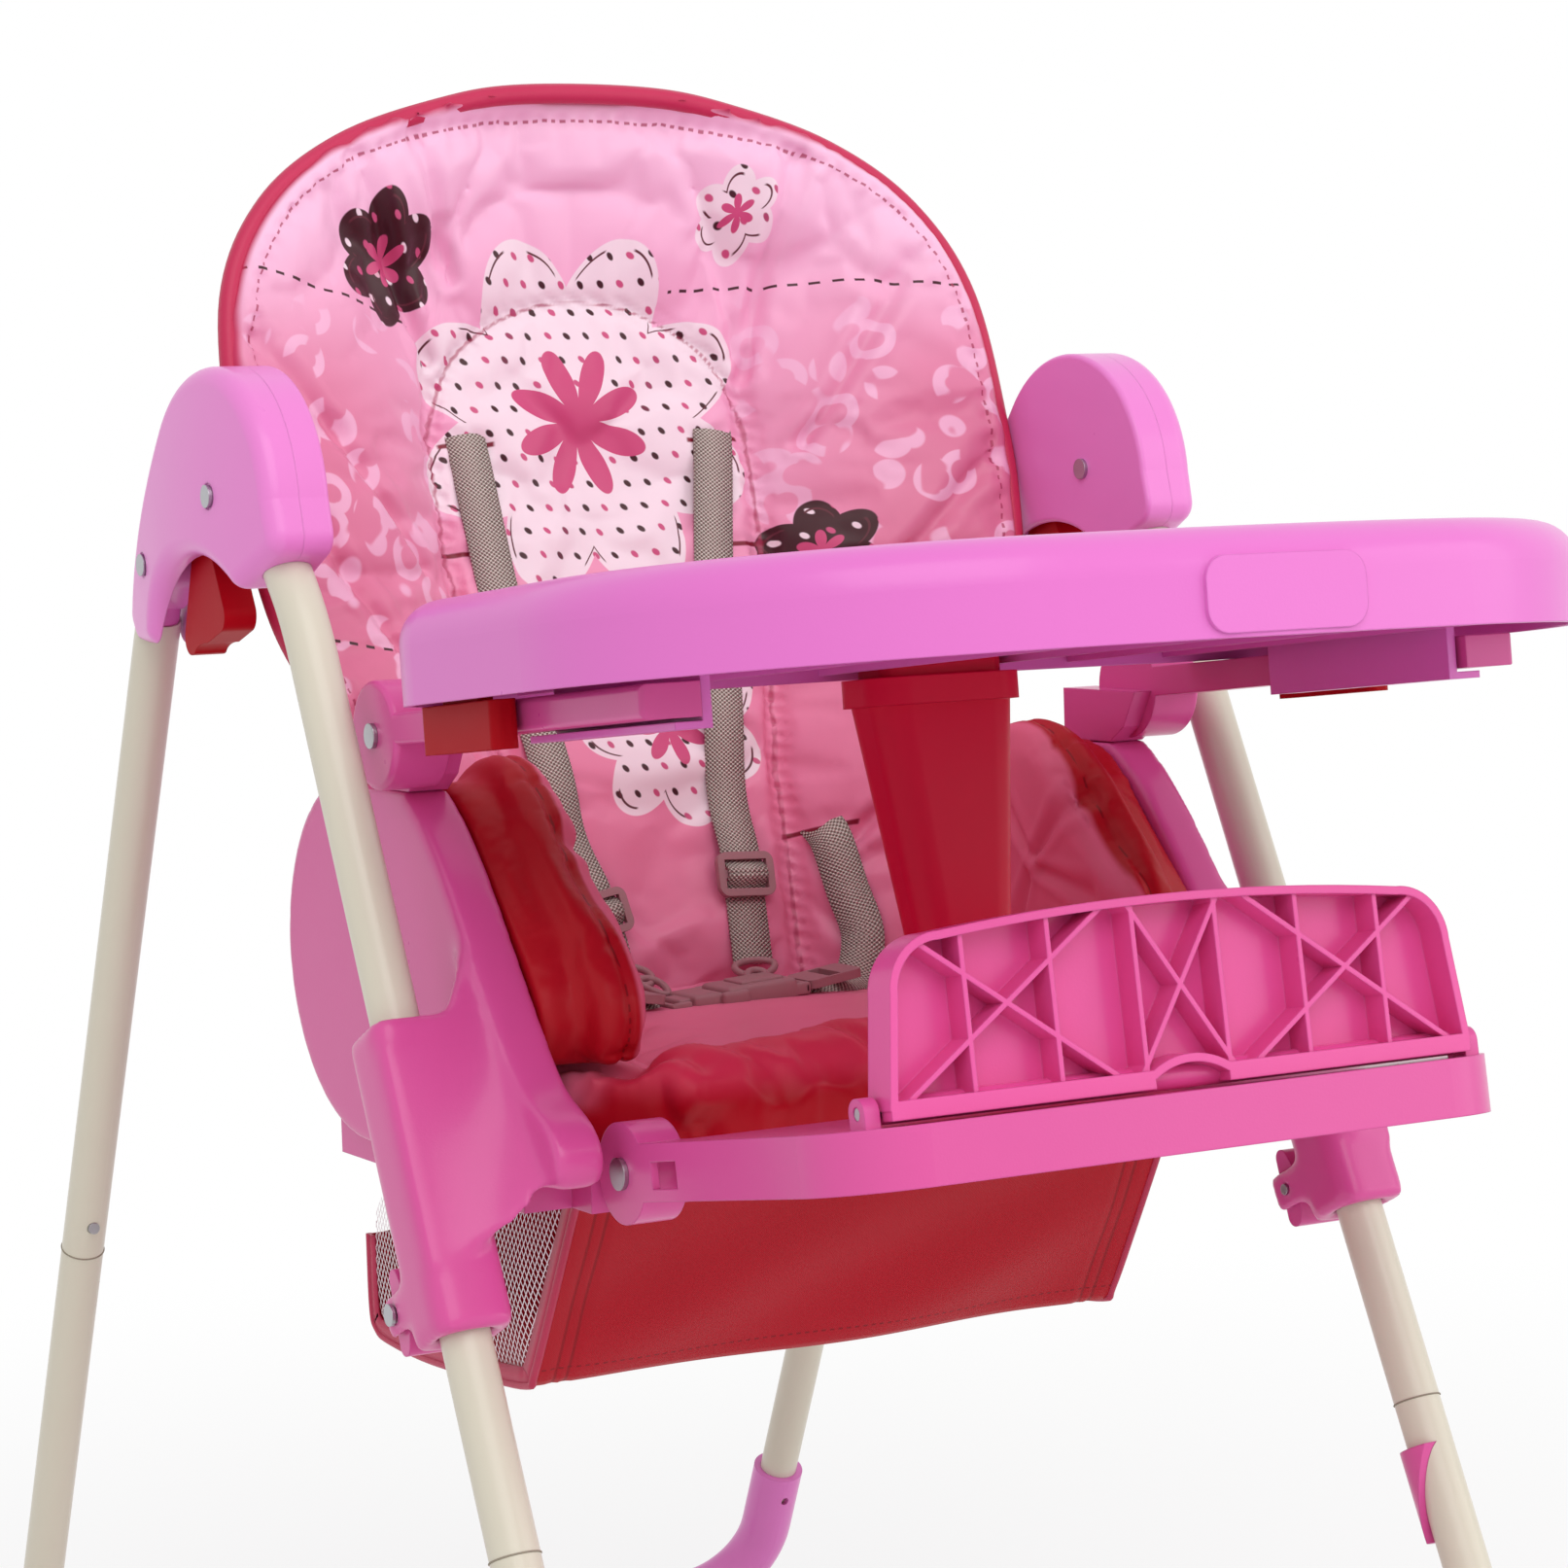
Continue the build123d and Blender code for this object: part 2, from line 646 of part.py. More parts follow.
def tray_outline():
    """Smooth plan: hollowed rear, round rear lobes, straight sides and a bowed front."""
    rear_r = (190.0**2 + 34.0**2) / 68.0
    rear_turn = degrees(asin(190.0 / rear_r))
    lobe_r = 85.0 / (1.0 + 190.0 / rear_r)
    lobe = (TRAY_HALF - lobe_r, 20.0 - lobe_r * cos(radians(rear_turn)))
    corner_r, corner_y, nose_r = 195.9, -160.0, 710.2
    reach = sqrt((nose_r - corner_r) ** 2 - (TRAY_HALF - corner_r) ** 2)
    nose_y = corner_y + reach
    nose_turn = degrees(atan2(TRAY_HALF - corner_r, reach))
    edges = [
        CenterArc((0, rear_r - 14.0), rear_r, 270 - rear_turn, 2 * rear_turn),
        CenterArc((0, nose_y), nose_r, 270 - nose_turn, 2 * nose_turn),
        CenterArc(lobe, lobe_r, 0, 90 + rear_turn),
        CenterArc((-lobe[0], lobe[1]), lobe_r, 90 - rear_turn, 90 + rear_turn),
        CenterArc((TRAY_HALF - corner_r, corner_y), corner_r, nose_turn - 90, 90 - nose_turn),
        CenterArc((corner_r - TRAY_HALF, corner_y), corner_r, 180, 90 - nose_turn),
    ]
    for x in (-TRAY_HALF, TRAY_HALF):
        edges.append(Line((x, lobe[1]), (x, corner_y)))
    return make_face(edges)


def tray():
    """Hollow tray with a rounded rim, a recessed top, a bare boss in front and guide rails."""
    outline = tray_outline()
    body = on_plane(TRAY_PLANE, outline, 0, TRAY_HIGH)
    body = fillet(body.faces().sort_by(Axis.Z)[-1].edges(), TRAY_ROUND)
    inside = offset(outline, amount=-TRAY_WALL)
    body -= on_plane(TRAY_PLANE, inside, 0, 30.0)
    body -= on_plane(TRAY_PLANE, offset(outline, amount=-36.0), 34.0, 70.0)
    front = Plane(TRAY_PLANE.location * Location((0, -355, 19), (90, 0, 0)))
    body += extrude(front * RectangleRounded(86, 34, 11), amount=8.01)
    for x in TRAY_RIBS:
        rib = offset(outline, amount=-3.0) & Pos(x, -170) * Rectangle(2.5, 500)
        body += on_plane(TRAY_PLANE, rib, 3.0, 31.0)
    for s in (-1, 1):
        rail = Pos(s * 209, -135) * Rectangle(5, 150)
        lip = Pos(s * 216, -135) * Rectangle(19, 150)
        body += on_plane(TRAY_PLANE, rail, -22, 31)
        body += on_plane(TRAY_PLANE, lip, -22, -18.5)
    return body


def tray_latch():
    block = Pos(253, -52) * RectangleRounded(14, 84, 5)
    body = on_plane(TRAY_PLANE, block, -24, -0.6)
    stem = Pos(253, -52) * Rectangle(8, 40)
    return body + on_plane(TRAY_PLANE, stem, -2, 14)


def crotch_post():
    top = Plane((0, -270, 700)) * RectangleRounded(82, 46, 16)
    low = Plane((0, -294, 562)) * RectangleRounded(50, 34, 14)
    body = loft([low, top])
    collar = on_plane(TRAY_PLANE, Pos(0, -56) * RectangleRounded(88, 52, 18), -15, -1)
    stub = on_plane(TRAY_PLANE, Pos(0, -56) * RectangleRounded(70, 34, 8), -15, 30)
    return body + collar + stub


# Legrest and footplate

ROD_AT = (-204.0, 21.0)      # footplate hinge in the legrest's plane
NOTCH = 20.0                 # half-width of the footplate's finger notch


def legrest():
    """Panel with a deep rim, round pivot ends and two lugs for the footplate."""
    plan = make_face(
        [
            Line((-LEGREST_HALF, -10), (-LEGREST_HALF, -LEGREST_REACH + 44)),
            ThreePointArc(
                (-LEGREST_HALF, -LEGREST_REACH + 44),
                (-LEGREST_HALF + 13, -LEGREST_REACH + 13),
                (-LEGREST_HALF + 44, -LEGREST_REACH),
            ),
            Line((-LEGREST_HALF + 44, -LEGREST_REACH), (LEGREST_HALF - 44, -LEGREST_REACH)),
            ThreePointArc(
                (LEGREST_HALF - 44, -LEGREST_REACH),
                (LEGREST_HALF - 13, -LEGREST_REACH + 13),
                (LEGREST_HALF, -LEGREST_REACH + 44),
            ),
            Line((LEGREST_HALF, -LEGREST_REACH + 44), (LEGREST_HALF, -10)),
            Line((LEGREST_HALF, -10), (165, -10)),
            Line((165, -10), (165, -34)),
            Line((165, -34), (-165, -34)),
            Line((-165, -34), (-165, -10)),
            Line((-165, -10), (-LEGREST_HALF, -10)),
        ]
    )
    body = on_plane(LEGREST_PLANE, plan, -14, 14)
    body -= on_plane(LEGREST_PLANE, offset(plan, amount=-4), -15, 9)
    for x in (-94.0, 0.0, 94.0):
        body += on_plane(LEGREST_PLANE, Pos(x, -128) * Rectangle(2.5, 184), -13, 10)
    for x0 in (165.0, -LEGREST_HALF):
        body += rod(x0, x0 + 23.0, LEGREST_PIVOT, 25.0)
    body -= on_plane(LEGREST_PLANE, Pos(0, -45) * Rectangle(500, 26), -8, 5)
    body -= rod(-200, 200, LEGREST_PIVOT, 5.0 + FIT)
    for x0 in (FOOTPLATE_HALF + 1.5, -FOOTPLATE_HALF - 9.5):
        lug = make_hull((Circle(7) + Pos(9, 0) * Circle(7)).edges())
        body += extrude(hinge_plane().offset(x0) * lug, amount=8.0, dir=(1, 0, 0))
    return body - hinge_axis(3.0 + FIT, -180, 180)


def hinge_plane():
    """Side plane of the footplate's hinge: local x down, local y back."""
    return Plane(LEGREST_PLANE.location * Location((0, *ROD_AT), (0, 90, 0)))


def hinge_axis(radius, x0, x1):
    return extrude(hinge_plane().offset(x0) * Circle(radius), amount=x1 - x0)


def legrest_pin():
    return rod(149.5, LEGREST_HALF + 0.5, LEGREST_PIVOT, 5.0) + rod(
        LEGREST_HALF + 0.1, LEGREST_HALF + 2.6, LEGREST_PIVOT, 8.0
    )


def footplate():
    """Ribbed shell: thin back, rim all round, upright ribs and crossed diagonals in front."""
    w, h = FOOTPLATE_HALF, FOOTPLATE_HIGH
    face = make_face(
        [
            Line((-w, 0), (-NOTCH, 0)),
            ThreePointArc((-NOTCH, 0), (0, 6), (NOTCH, 0)),
            Line((NOTCH, 0), (w, 0)),
            Line((w, 0), (w - 6, h - 34)),
            ThreePointArc((w - 6, h - 34), (w - 15, h - 14), (w - 34, h - 7)),
            ThreePointArc((w - 34, h - 7), (0, h), (-w + 34, h - 7)),
            ThreePointArc((-w + 34, h - 7), (-w + 15, h - 14), (-w + 6, h - 34)),
            Line((-w + 6, h - 34), (-w, 0)),
        ]
    )
    spot = LEGREST_PLANE.location * Location((0, *ROD_AT), (90, 0, 0))
    back = Plane(spot)
    plate = on_plane(back, face, -6, 14)
    cells = on_plane(back, offset(face, amount=-4), -2.5, 15)
    ribs = Rectangle(0.1, 0.1)
    for k in range(6):
        ribs += Pos((k - 2.5) * 46, h / 2) * Rectangle(2.5, 2 * h)
    for x, turn in ((-94, 55), (0, 33), (94, 55)):
        for way in (-turn, turn):
            ribs += Pos(x, h / 2) * Rot(Z=way) * Rectangle(2.5, 2 * h)
    kept = on_plane(back, ribs & offset(face, amount=-3), -3, 12)
    plate = plate - cells + kept
    for x in (-(w + NOTCH) / 2, (w + NOTCH) / 2):
        plate += on_plane(back, Pos(x, -1.5) * Rectangle(w - NOTCH - 1, 6), 5.0, 14.0)
    barrel = hinge_axis(6.0, -w + 2, w - 2)
    return plate + barrel - hinge_axis(3.0 + FIT, -180, 180)


def hinge_rod():
    return hinge_axis(3.0, -FOOTPLATE_HALF - 9.0, FOOTPLATE_HALF + 9.0)


def write(name, shapes):
    moved = [Pos(0, DEPTH_SHIFT, 0) * s for s in solids_of(shapes)]
    shape = moved[0] if len(moved) == 1 else Compound(children=moved)
    shape.label = name
    export_step(shape, f"parts/{name}.step")


def write_pair(name, solid):
    for side, shape in zip("lr", both_sides(solid)):
        write(f"{name}_{side}", [shape])


def main():
    os.makedirs("parts", exist_ok=True)

    write_pair("front_upper_tube", front_upper_tube())
    write_pair("front_lower_tube", lower_tube(front_y, FRONT_SEAM_Z))
    write("front_snap_buttons", both_sides(snap_button(front_y, FRONT_SEAM_Z, 30, 1, 1.2)))
    write("front_elbows", both_sides(elbow(front_y, -BAR_Y)))
    write("front_crossbar", [crossbar(-BAR_Y)])
    write("front_foot_pads", both_sides(foot_pad(front_y, -BAR_Y)))
    write("leg_clips", both_sides(leg_clip()))
    write_pair("hub_outer", hub_shell(HUB_OUT, 13.5, 1))
    write_pair("hub_inner", hub_shell(HUB_IN, 13.5, -1))
    write("hub_screws", both_sides(screw(MAIN_SCREW, LEG_X - HUB_IN, head_seat(MAIN_SCREW))))
    write("fold_pivot_screws", both_sides(screw(FOLD_PIVOT, LEG_X - HUB_IN, head_seat(FOLD_PIVOT))))
    write("fold_lever_pins", both_sides(lever_pin()))

    write_pair("rear_upper_tube", rear_upper_tube())
    write_pair("rear_lower_tube", lower_tube(rear_y, REAR_SEAM_Z))
    write("rear_snap_buttons", both_sides(snap_button(rear_y, REAR_SEAM_Z, 15, -1, 4.5)))
    write("rear_knuckles", both_sides(knuckle()))
    write("rear_elbows", both_sides(elbow(rear_y, BAR_Y)))
    write("rear_crossbar", [crossbar(BAR_Y)])
    write("rear_foot_pads", both_sides(foot_pad(rear_y, BAR_Y)))
    write_pair("fold_lever", fold_lever())

    write_pair("side_panel", side_panel())
    write_pair("height_lever", height_lever())
    write("height_rivets", both_sides(height_rivet()))
    write("seat_pan", [seat_pan()])
    write("seat_cushion", [seat_cushion()])
    write_pair("side_bolster", side_bolster())
    write_pair("armrest", armrest())
    write("armrest_rivets", both_sides(armrest_rivet()))
    write("basket", [basket()])
    write("buckle", [buckle()])
    write("buckle_adjusters", both_sides(adjuster()))
    write("waist_straps", both_sides(waist_strap()))
    write("crotch_strap", [crotch_strap()])

    write("back_shell", [back_shell()])
    write("back_cushion", [back_cushion()])
    write("recline_pins", both_sides(recline_pin()))
    write("recline_handle", [recline_handle()])
    write("recline_handle_rod", [handle_rod()])
    write("shoulder_straps", [shoulder_strap(route) for route in STRAP_ROUTES])
    write("strap_sliders", [strap_slider(*place) for place in SLIDERS])

    write("tray", [tray()])
    write_pair("tray_latch", tray_latch())
    write("crotch_post", [crotch_post()])
    write("legrest", [legrest()])
    write("legrest_pins", both_sides(legrest_pin()))
    write("footplate", [footplate()])
    write("footplate_rod", [hinge_rod()])


main()
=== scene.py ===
"""Baby high chair: finishes, padded covers, harness, basket, floor, light and camera."""
import json
import math

import bmesh
import bpy
import numpy as np
from mathutils import Matrix, Vector, noise
from mathutils.bvhtree import BVHTree


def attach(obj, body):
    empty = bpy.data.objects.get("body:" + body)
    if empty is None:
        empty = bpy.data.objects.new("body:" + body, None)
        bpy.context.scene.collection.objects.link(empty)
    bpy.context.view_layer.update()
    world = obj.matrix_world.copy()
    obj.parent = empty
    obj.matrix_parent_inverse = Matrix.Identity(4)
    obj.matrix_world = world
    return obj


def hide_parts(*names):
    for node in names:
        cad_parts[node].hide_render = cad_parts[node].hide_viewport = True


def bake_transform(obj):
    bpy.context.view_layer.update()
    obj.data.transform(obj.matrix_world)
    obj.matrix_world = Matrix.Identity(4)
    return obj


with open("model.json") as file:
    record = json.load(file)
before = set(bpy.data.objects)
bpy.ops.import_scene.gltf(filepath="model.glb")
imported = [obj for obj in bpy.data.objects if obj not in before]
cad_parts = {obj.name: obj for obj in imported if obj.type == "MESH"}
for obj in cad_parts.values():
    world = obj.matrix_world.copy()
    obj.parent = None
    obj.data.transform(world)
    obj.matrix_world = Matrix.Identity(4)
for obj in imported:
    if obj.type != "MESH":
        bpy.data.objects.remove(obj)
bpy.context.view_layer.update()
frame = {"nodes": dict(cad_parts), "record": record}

SHIFT = 0.055436             # from the middle of the feet to the frame's origin, along Y
BACK_LEAN = math.radians(15.8)
BACK_FOOT = (-0.052 + SHIFT, 0.500)
# Height up the back and half-width
BACK_STATIONS = (
    (0.030, 0.188),
    (0.070, 0.194),
    (0.115, 0.199),
    (0.160, 0.203),
    (0.200, 0.215),
    (0.245, 0.233),
    (0.295, 0.241),
    (0.345, 0.243),
    (0.430, 0.236),
    (0.485, 0.206),
    (0.522, 0.156),
    (0.544, 0.092),
    (0.553, 0.040),
)
CHANNEL = 0.42               # sewn channel of the back, as a share of the half-width
RIM_SEAM = 0.013             # stitched seam inside the back's edge
PIPING_IN = 0.0004           # the piping's middle, in from the edge of the back
PIPING_R = 0.0058
ARCH_SPRING = 0.360          # height where the sewn channels turn in to an arch
ARCH_HALF = 0.102
ARCH_RISE = 0.085
SLITS = ((0.080, 0.362), (0.088, 0.298), (0.100, 0.120))
# Soft creases of the back, each from the rim inwards: across and up
CREASES = (
    ((-0.150, 0.512), (-0.098, 0.412)),
    ((-0.108, 0.528), (-0.082, 0.455)),
    ((-0.226, 0.405), (-0.126, 0.285)),
    ((-0.220, 0.318), (-0.118, 0.170)),
    ((-0.196, 0.190), (-0.112, 0.090)),
    ((0.132, 0.512), (0.104, 0.398)),
    ((0.196, 0.450), (0.128, 0.352)),
    ((0.228, 0.330), (0.128, 0.236)),
    ((0.204, 0.200), (0.112, 0.110)),
)
TUBE_R = 0.0125
LEG_BORE = 0.0135                # open way round a leg in the side mouldings
LEG_X = 0.266
LEG_FOOT = 0.4467                # foot of a leg from the middle of the feet, along Y
LEG_FOOT_UP = 0.030
FRONT_LEAN = math.radians(25.87)
REAR_LEAN = math.radians(-25.15)
BASKET_HALF = 0.178
BASKET_SEAMS = (0.012, 0.019)    # two sewn lines in from each edge of the bag's panel
BASKET_HEM = 0.112               # stitched line above the bottom edge, down from the front edge
FAR = 9.0                        # distance of a point that a sewn line doesn't draw in
# Camera: place, turn in degrees and lens, with the focal length in pixels of the picture's width
CAMERA_PLACE = (-1.0315, -1.9795 + SHIFT, 0.8085)
CAMERA_YAW = 28.97
CAMERA_PITCH = 4.42
CAMERA_ROLL = -1.8
FOCAL_PIXELS = 4079.1
PICTURE_PIXELS = 1613.0
SENSOR = 36.0
AIM = (0.0, 0.0, 0.6)            # what the lamps point at


def rgb(r, g, b):
    """Linear colour of an sRGB colour given from 0 to 255."""
    def one(v):
        v /= 255.0
        return v / 12.92 if v <= 0.04045 else ((v + 0.055) / 1.055) ** 2.4
    return (one(r), one(g), one(b), 1.0)


# Shader graph

class Wire:
    """A shader socket that does arithmetic."""

    def __init__(self, graph, socket):
        self.graph = graph
        self.socket = socket

    def math(self, operation, *others):
        return self.graph.node("ShaderNodeMath", {"operation": operation}, 0, *((self,) + others))

    def __add__(self, other):
        return self.math("ADD", other)

    def __radd__(self, other):
        return self.math("ADD", other)

    def __sub__(self, other):
        return self.math("SUBTRACT", other)

    def __rsub__(self, other):
        return (self * -1.0) + other

    def __mul__(self, other):
        return self.math("MULTIPLY", other)

    def __rmul__(self, other):
        return self.math("MULTIPLY", other)

    def __truediv__(self, other):
        return self.math("DIVIDE", other)

    def __abs__(self):
        return self.math("ABSOLUTE")

    def step(self, low, high):
        """0 below low, 1 above high, smooth between."""
        settings = {"interpolation_type": "SMOOTHSTEP"}
        return self.graph.node("ShaderNodeMapRange", settings, 0, self, low, high)

    def below(self, edge, soft=0.0004):
        """1 below the edge, 0 above it, smooth across it."""
        return 1.0 - self.step(edge - soft, edge + soft)


class Graph:
    """A material with its Principled shader."""

    def __init__(self, name, colour=None, roughness=0.5, **constants):
        self.material = bpy.data.materials.new(name)
        self.material.use_nodes = True
        self.tree = self.material.node_tree
        self.shader = self.tree.nodes["Principled BSDF"]
        self.shader.inputs["Roughness"].default_value = roughness
        if colour:
            self.shader.inputs["Base Color"].default_value = colour
        for key, value in constants.items():
            self.shader.inputs[key.replace("_", " ")].default_value = value

    def node(self, kind, settings, out, *inputs):
        made = self.tree.nodes.new(kind)
        for key, value in settings.items():
            setattr(made, key, value)
        for place, value in enumerate(inputs):
            self.plug(made.inputs[place], value)
        return Wire(self, made.outputs[out])

    def plug(self, socket, value):
        if isinstance(value, Wire):
            self.tree.links.new(value.socket, socket)
        elif value is not None:
            socket.default_value = value

    def set(self, name, value):
        self.plug(self.shader.inputs[name], value)

    def place(self):
        return self.node("ShaderNodeTexCoord", {}, "Object")

    def axes(self, vector):
        split = self.tree.nodes.new("ShaderNodeSeparateXYZ")
        self.plug(split.inputs[0], vector)
        return [Wire(self, socket) for socket in split.outputs]

    def vector(self, x, y, z=0.0):
        return self.node("ShaderNodeCombineXYZ", {}, 0, x, y, z)

    def noise(self, vector, scale, detail=2.0, roughness=0.5):
        return self.node("ShaderNodeTexNoise", {}, 0, vector, None, scale, detail, roughness)

    def attribute(self, name):
        return self.node("ShaderNodeAttribute", {"attribute_name": name}, "Fac")

    def weave(self):
        """Place on the flat cut of a cloth, across and along."""
        flat = self.node("ShaderNodeAttribute", {"attribute_name": "weave"}, "Vector")
        return self.axes(flat)[:2]

    def mix(self, factor, a, b):
        made = self.tree.nodes.new("ShaderNodeMix")
        made.data_type = "RGBA"
        self.plug(made.inputs[0], factor)
        self.plug(made.inputs[6], a)
        self.plug(made.inputs[7], b)
        return Wire(self, made.outputs[2])

    def bump(self, height, distance, strength=1.0, rounded=None):
        made = self.tree.nodes.new("ShaderNodeBump")
        made.inputs["Strength"].default_value = strength
        made.inputs["Distance"].default_value = distance
        self.plug(made.inputs["Height"], height)
        self.plug(made.inputs["Normal"], rounded)
        self.set("Normal", Wire(self, made.outputs[0]))

    def rounded(self, radius):
        return self.node("ShaderNodeBevel", {"samples": 6}, 0, radius)


# Rigid finishes

def plastic(name, colour, roughness=0.26, coat=0.1, edge=0.0012, gloss=0.32):
    """Moulded plastic, faintly clouded, with its edges rounded in the shading."""
    g = Graph(name, None, roughness, Specular_IOR_Level=gloss, Coat_Weight=coat, Coat_Roughness=0.1)
    p = g.place()
    cloud = g.noise(p, 14.0, 3.0)
    shade = tuple(0.84 * v for v in colour[:3]) + (1.0,)
    g.set("Base Color", g.mix(cloud * 0.14, colour, shade))
    g.set("Roughness", roughness + 0.06 * g.noise(p, 60.0, 2.0))
    g.bump(g.noise(p, 900.0, 2.0), 0.00008, 0.6, g.rounded(edge))
    return g.material


def powder_coat():
    """Cream coat of the leg tubes."""
    g = Graph("tube_cream", None, 0.3, Specular_IOR_Level=0.35, Coat_Weight=0.12, Coat_Roughness=0.15)
    p = g.place()
    g.set("Base Color", g.mix(g.noise(p, 18.0, 3.0) * 0.3, rgb(218, 212, 194), rgb(206, 198, 178)))
    g.set("Roughness", 0.26 + 0.1 * g.noise(p, 40.0, 2.0))
    g.bump(g.noise(p, 700.0, 2.0), 0.00006, 0.5, g.rounded(0.0006))
    return g.material


def steel():
    g = Graph("steel", rgb(176, 176, 180), 0.3, Metallic=1.0)
    g.set("Roughness", 0.24 + 0.15 * g.noise(g.place(), 300.0, 2.0))
    g.bump(g.noise(g.place(), 500.0), 0.00004, 0.5, g.rounded(0.0005))
    return g.material


def rubber():
    g = Graph("foot_rubber", rgb(120, 112, 112), 0.8)
    g.bump(g.noise(g.place(), 1200.0, 2.0), 0.0001, 0.8, g.rounded(0.001))
    return g.material


# Padded covers

def vinyl(name, colour, shade, roughness=0.36):
    """Plain soft vinyl with fine grain and shallow puckers."""
    g = Graph(name, None, roughness, Specular_IOR_Level=0.28)
    p = g.place()
    g.set("Base Color", g.mix(g.noise(p, 9.0, 3.0), colour, shade))
    g.set("Roughness", roughness + 0.08 * g.noise(p, 50.0, 2.0))
    grain = g.noise(p, 1500.0, 2.0) * 0.12 + g.noise(p, 38.0, 3.0)
    g.bump(grain, 0.0016, 0.35)
    return g.material


def up_the_back(g, p):
    """Place across and up the back's plane."""
    x, y, z = g.axes(p)
    return x, (y - BACK_FOOT[0]) * math.sin(BACK_LEAN) + (z - BACK_FOOT[1]) * math.cos(BACK_LEAN)


def flower(x, t, centre, radius, petals):
    """Distance inside a scalloped flower: positive within it."""
    dx = x - centre[0]
    dy = t - centre[1]
    r = (dx * dx + dy * dy).math("SQRT")
    turn = dy.math("ARCTAN2", dx)
    edge = abs((turn * (petals / 2.0)).math("SINE")) * (0.3 * radius) + 0.75 * radius
    return edge - r


def dots(x, t, pitch, radius):
    """Staggered polka dots, and a number that differs from dot to dot."""
    a = (x + t * 0.5) / pitch
    b = t * 0.866 / pitch
    du = (a.math("FRACT") - 0.5) * pitch
    dv = (b.math("FRACT") - 0.5) * pitch
    r = (du * du + dv * dv).math("SQRT")
    pick = (a.math("FLOOR") * 0.37 + b.math("FLOOR") * 0.61).math("FRACT")
    return r.below(radius), pick


def blossom(g, x, t, spot, pick, colour, centre, radius, petals, fill, dot):
    """Lays one dotted flower with a plain heart over a colour."""
    inside = flower(x, t, centre, radius, petals)
    tint = g.mix(spot, fill, g.mix(pick.step(0.45, 0.55), rgb(206, 84, 130), dot))
    turn = (t - centre[1]).math("ARCTAN2", x - centre[0])
    dash = (turn * (radius * 180.0)).math("SINE").step(-0.2, 0.2)
    stitch = abs(inside - 0.005).below(0.0007, 0.0003) * dash
    tint = g.mix(stitch, tint, rgb(96, 40, 52))
    tint = g.mix(inside.step(radius * 0.62, radius * 0.62 + 0.0008), tint, rgb(206, 78, 126))
    return g.mix(inside.step(-0.0005, 0.0005), colour, tint)


BIG_FLOWER = (-0.005, 0.375)    # middle of the large flower, across and up the back


def printed_vinyl():
    """Pink vinyl with tone-on-tone spots, dotted flowers, dashed lines and sewn seams."""
    g = Graph("pad_pink", None, 0.34, Specular_IOR_Level=0.3)
    p = g.place()
    x, t = up_the_back(g, p)
    rim = g.attribute("rim")
    # Painted shade and light: deeper pink low on the back, lighter pink towards its top.
    colour = g.mix(t.step(0.10, 0.50), rgb(236, 132, 168), rgb(246, 178, 212))
    # Painted shade: deeper pink over the sides of the lower back.
    side = abs(x).step(0.08, 0.20) * t.below(0.42, 0.08)
    colour = g.mix(side * 0.8, colour, rgb(218, 112, 148))
    # Painted highlight: paler pink within a few centimetres of the edge round the top of the back.
    colour = g.mix(rim.below(0.06, 0.05) * t.step(0.38, 0.48) * 0.7, colour, rgb(252, 204, 232))

    cell = g.node("ShaderNodeTexVoronoi", {}, "Distance", g.vector(x, t), None, 36.0)
    ring = abs(cell - 0.36).below(0.11, 0.02) * g.noise(p, 55.0, 0.0).step(0.42, 0.48)
    spotted = abs(x).step(0.085, 0.11) * t.step(0.16, 0.22) * t.below(0.44, 0.03)
    colour = g.mix(ring * spotted * 0.8, colour, rgb(246, 190, 220))

    white = rgb(246, 224, 234)
    brown = rgb(66, 26, 34)
    spot, pick = dots(x, t, 0.0125, 0.0019)
    for flower_print in (
        (BIG_FLOWER, 0.105, 8.0, white, brown),
        ((0.020, 0.190), 0.058, 7.0, white, brown),
        ((-0.128, 0.462), 0.034, 6.0, brown, white),
        ((0.128, 0.285), 0.030, 6.0, brown, white),
        ((0.098, 0.488), 0.024, 6.0, white, brown),
    ):
        colour = blossom(g, x, t, spot, pick, colour, *flower_print)

    run = (x * (2.0 * math.pi / 0.011)).math("SINE").step(-0.1, 0.1)
    free = 1.0 - flower(x, t, BIG_FLOWER, 0.115, 8.0).step(-0.001, 0.0)
    for level, sway in ((0.440, 0.010), (0.232, 0.008)):
        wave = (x * 17.0).math("SINE") * sway + level
        colour = g.mix(abs(t - wave).below(0.0008, 0.0003) * run * free, colour, brown)

    # Painted shade: a dark band where each harness slit opens.
    for x0, t0 in SLITS:
        slit = abs(abs(x) - x0).below(0.017, 0.001) * abs(t - t0).below(0.0014, 0.0006)
        colour = g.mix(slit, colour, rgb(128, 24, 48))

    thread = (g.attribute("along") * (2.0 * math.pi / 0.006)).math("SINE").step(-0.3, 0.1)
    colour = g.mix(abs(rim - RIM_SEAM).below(0.0008, 0.0004) * thread * 0.8, colour, rgb(166, 44, 84))
    colour = g.mix(g.attribute("seam").below(0.0009, 0.0006) * 0.7, colour, rgb(176, 60, 96))
    colour = g.mix(rim.below(0.004, 0.002), colour, rgb(196, 48, 92))
    g.set("Base Color", colour)
    g.set("Roughness", 0.30 + 0.1 * g.noise(p, 40.0, 2.0))
    g.bump(g.noise(p, 1400.0, 2.0) * 0.1 + g.noise(p, 26.0, 3.0) * 0.9, 0.0018, 0.3)
    return g.material


